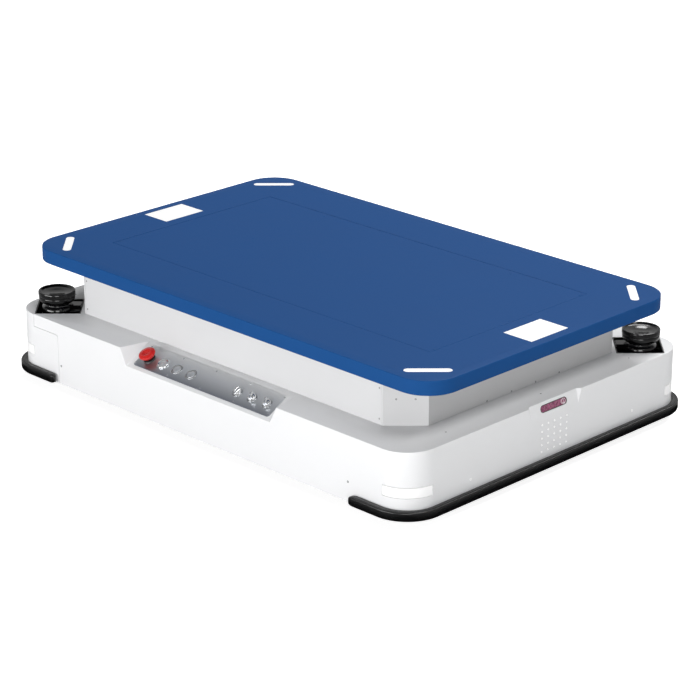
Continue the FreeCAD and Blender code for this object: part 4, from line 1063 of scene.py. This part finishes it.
# ---------------------------------------------------------------- stage
def area_lamp(name, position, width, height, power):
    """A soft rectangular lamp that looks at the robot."""
    lamp = bpy.data.lights.new(name, "AREA")
    lamp.shape, lamp.size, lamp.size_y, lamp.energy = "RECTANGLE", width, height, power
    made = bpy.data.objects.new(name, lamp)
    made.location = position
    made.rotation_euler = (Vector((0, 0, 0.2)) - Vector(position)).to_track_quat("-Z", "Y").to_euler()
    bpy.context.scene.collection.objects.link(made)


def seen_ray(tree):
    """1 for rays that come from the camera, straight or through glass."""
    path = node(tree, "LightPath").outputs
    return maths(tree, "MAXIMUM", path["Is Camera Ray"], path["Is Transmission Ray"])


def mirrored_ray(tree):
    """1 for rays that a glossy face mirrors."""
    return node(tree, "LightPath").outputs["Is Glossy Ray"]


class ROBOT_OT_stage(bpy.types.Operator):
    """Pale floor, white surroundings, soft lamps and the camera"""
    bl_idname = "robot.stage"
    bl_label = "Stage"

    def execute(self, context):
        scene = context.scene
        scene.view_settings.view_transform = "Standard"
        half = 30.0  # metres of floor each way
        floor = new_object("floor", (np.array([(-half, -half, 0), (half, -half, 0), (half, half, 0),
                                               (-half, half, 0)], float), [[0, 1, 2, 3]]))
        floor.data.materials.append(self.floor_material(scene.robot_colours.floor))
        self.surroundings(scene)
        area_lamp("side_lamp", (-1.0, -7.0, 0.9), 6.0, 1.4, 314)
        area_lamp("corner_lamp", (4.9, -4.9, 1.6), 3.0, 2.0, 136)
        area_lamp("end_lamp", (4.1, 0.0, 5.8), 4.0, 2.0, 188)
        area_lamp("back_lamp", (-1.2, 4.3, 5.4), 4.5, 2.2, 300)
        self.camera(scene)
        return {"FINISHED"}

    def floor_material(self, tint):
        """Pale floor that keeps a soft shadow and reads white to the camera. Glossy faces mirror it with a painted
        shade: by how far a point lies outside the body's outline, black up to the near distance, mid grey from the
        far one on."""
        material, tree, shader = new_material("Studio floor")
        shade = mixed(tree, noise(tree, on_object(tree), 3.0), tint, [c * 0.97 for c in tint])
        apart = node(tree, "VectorMath", {0: on_object(tree)}, operation="ABSOLUTE").outputs["Vector"]
        beyond = node(tree, "VectorMath", {0: apart, 1: SHELL_HIGH}, operation="SUBTRACT").outputs["Vector"]
        sides = node(tree, "SeparateXYZ", {0: beyond}).outputs
        # painted shade in reflections: close to the body the mirrored floor turns black
        near, far = 62 * MM, 130 * MM
        mirror = mapped(tree, maths(tree, "MAXIMUM", sides["X"], sides["Y"]), near, far, 0.0, 0.50)
        feed(tree, shader, {"Base Color": mixed(tree, mirrored_ray(tree), shade, mirror), "Roughness": 0.9,
                            "Specular IOR Level": 0.0})
        lift = node(tree, "Emission", {"Strength": maths(tree, "MULTIPLY", seen_ray(tree), 0.85)})
        both = node(tree, "AddShader", {0: shader.outputs[0], 1: lift.outputs[0]})
        feed(tree, tree.nodes["Material Output"], {"Surface": both.outputs[0]})
        return material

    def surroundings(self, scene):
        """A dim world that the camera sees as white and glossy faces mirror as grey."""
        dim, white, grey = 0.04, 1.0, 0.54
        scene.world = bpy.data.worlds.new("White room")
        scene.world.use_nodes = True
        tree = scene.world.node_tree
        seen = maths(tree, "MULTIPLY", seen_ray(tree), white - dim)
        mirrored = maths(tree, "MULTIPLY", mirrored_ray(tree), grey - dim)
        strength = maths(tree, "ADD", maths(tree, "ADD", seen, mirrored), dim)
        feed(tree, tree.nodes["Background"], {"Color": (1.0, 1.0, 1.0), "Strength": strength})

    def camera(self, scene):
        """The camera by its place, heading and dip; the lens is in millimetres on a 36 mm sensor."""
        azimuth, dip = math.radians(44.79), math.radians(20.92)
        forward = Vector((-math.sin(azimuth) * math.cos(dip), math.cos(azimuth) * math.cos(dip), -math.sin(dip)))
        camera = bpy.data.cameras.new("camera")
        camera.lens, camera.sensor_width = 129.3, 36.0
        camera.clip_end = 200.0
        made = bpy.data.objects.new("camera", camera)
        made.location = (3.8905, -3.8958, 2.2195)
        made.rotation_euler = forward.to_track_quat("-Z", "Y").to_euler()
        scene.collection.objects.link(made)
        scene.camera = made


OPERATORS = (ROBOT_OT_body_covers, ROBOT_OT_light_strips, ROBOT_OT_deck, ROBOT_OT_bumpers, ROBOT_OT_controls,
             ROBOT_OT_scanners, ROBOT_OT_camera, ROBOT_OT_screws, ROBOT_OT_wheels, ROBOT_OT_finishes,
             ROBOT_OT_stage)


class ROBOT_PT_panel(bpy.types.Panel):
    """Lists the steps that dress the robot"""
    bl_idname = "ROBOT_PT_panel"
    bl_label = "Mobile robot"
    bl_space_type = "VIEW_3D"
    bl_region_type = "UI"
    bl_category = "Robot"

    def draw(self, context):
        for operator in OPERATORS:
            self.layout.operator(operator.bl_idname)
        for group in (context.scene.robot_sizes, context.scene.robot_colours):
            box = self.layout.box()
            for name in group.__annotations__:
                box.prop(group, name)


CLASSES = (RobotSizes, RobotColours, ROBOT_PT_panel) + OPERATORS


def register():
    for cls in CLASSES:
        bpy.utils.register_class(cls)
    bpy.types.Scene.robot_sizes = bpy.props.PointerProperty(type=RobotSizes)
    bpy.types.Scene.robot_colours = bpy.props.PointerProperty(type=RobotColours)


def unregister():
    del bpy.types.Scene.robot_colours
    del bpy.types.Scene.robot_sizes
    for cls in reversed(CLASSES):
        bpy.utils.unregister_class(cls)


def main():
    register()
    for operator in OPERATORS:
        space, name = operator.bl_idname.split(".")
        getattr(getattr(bpy.ops, space), name)()


if __name__ == "__main__":
    main()
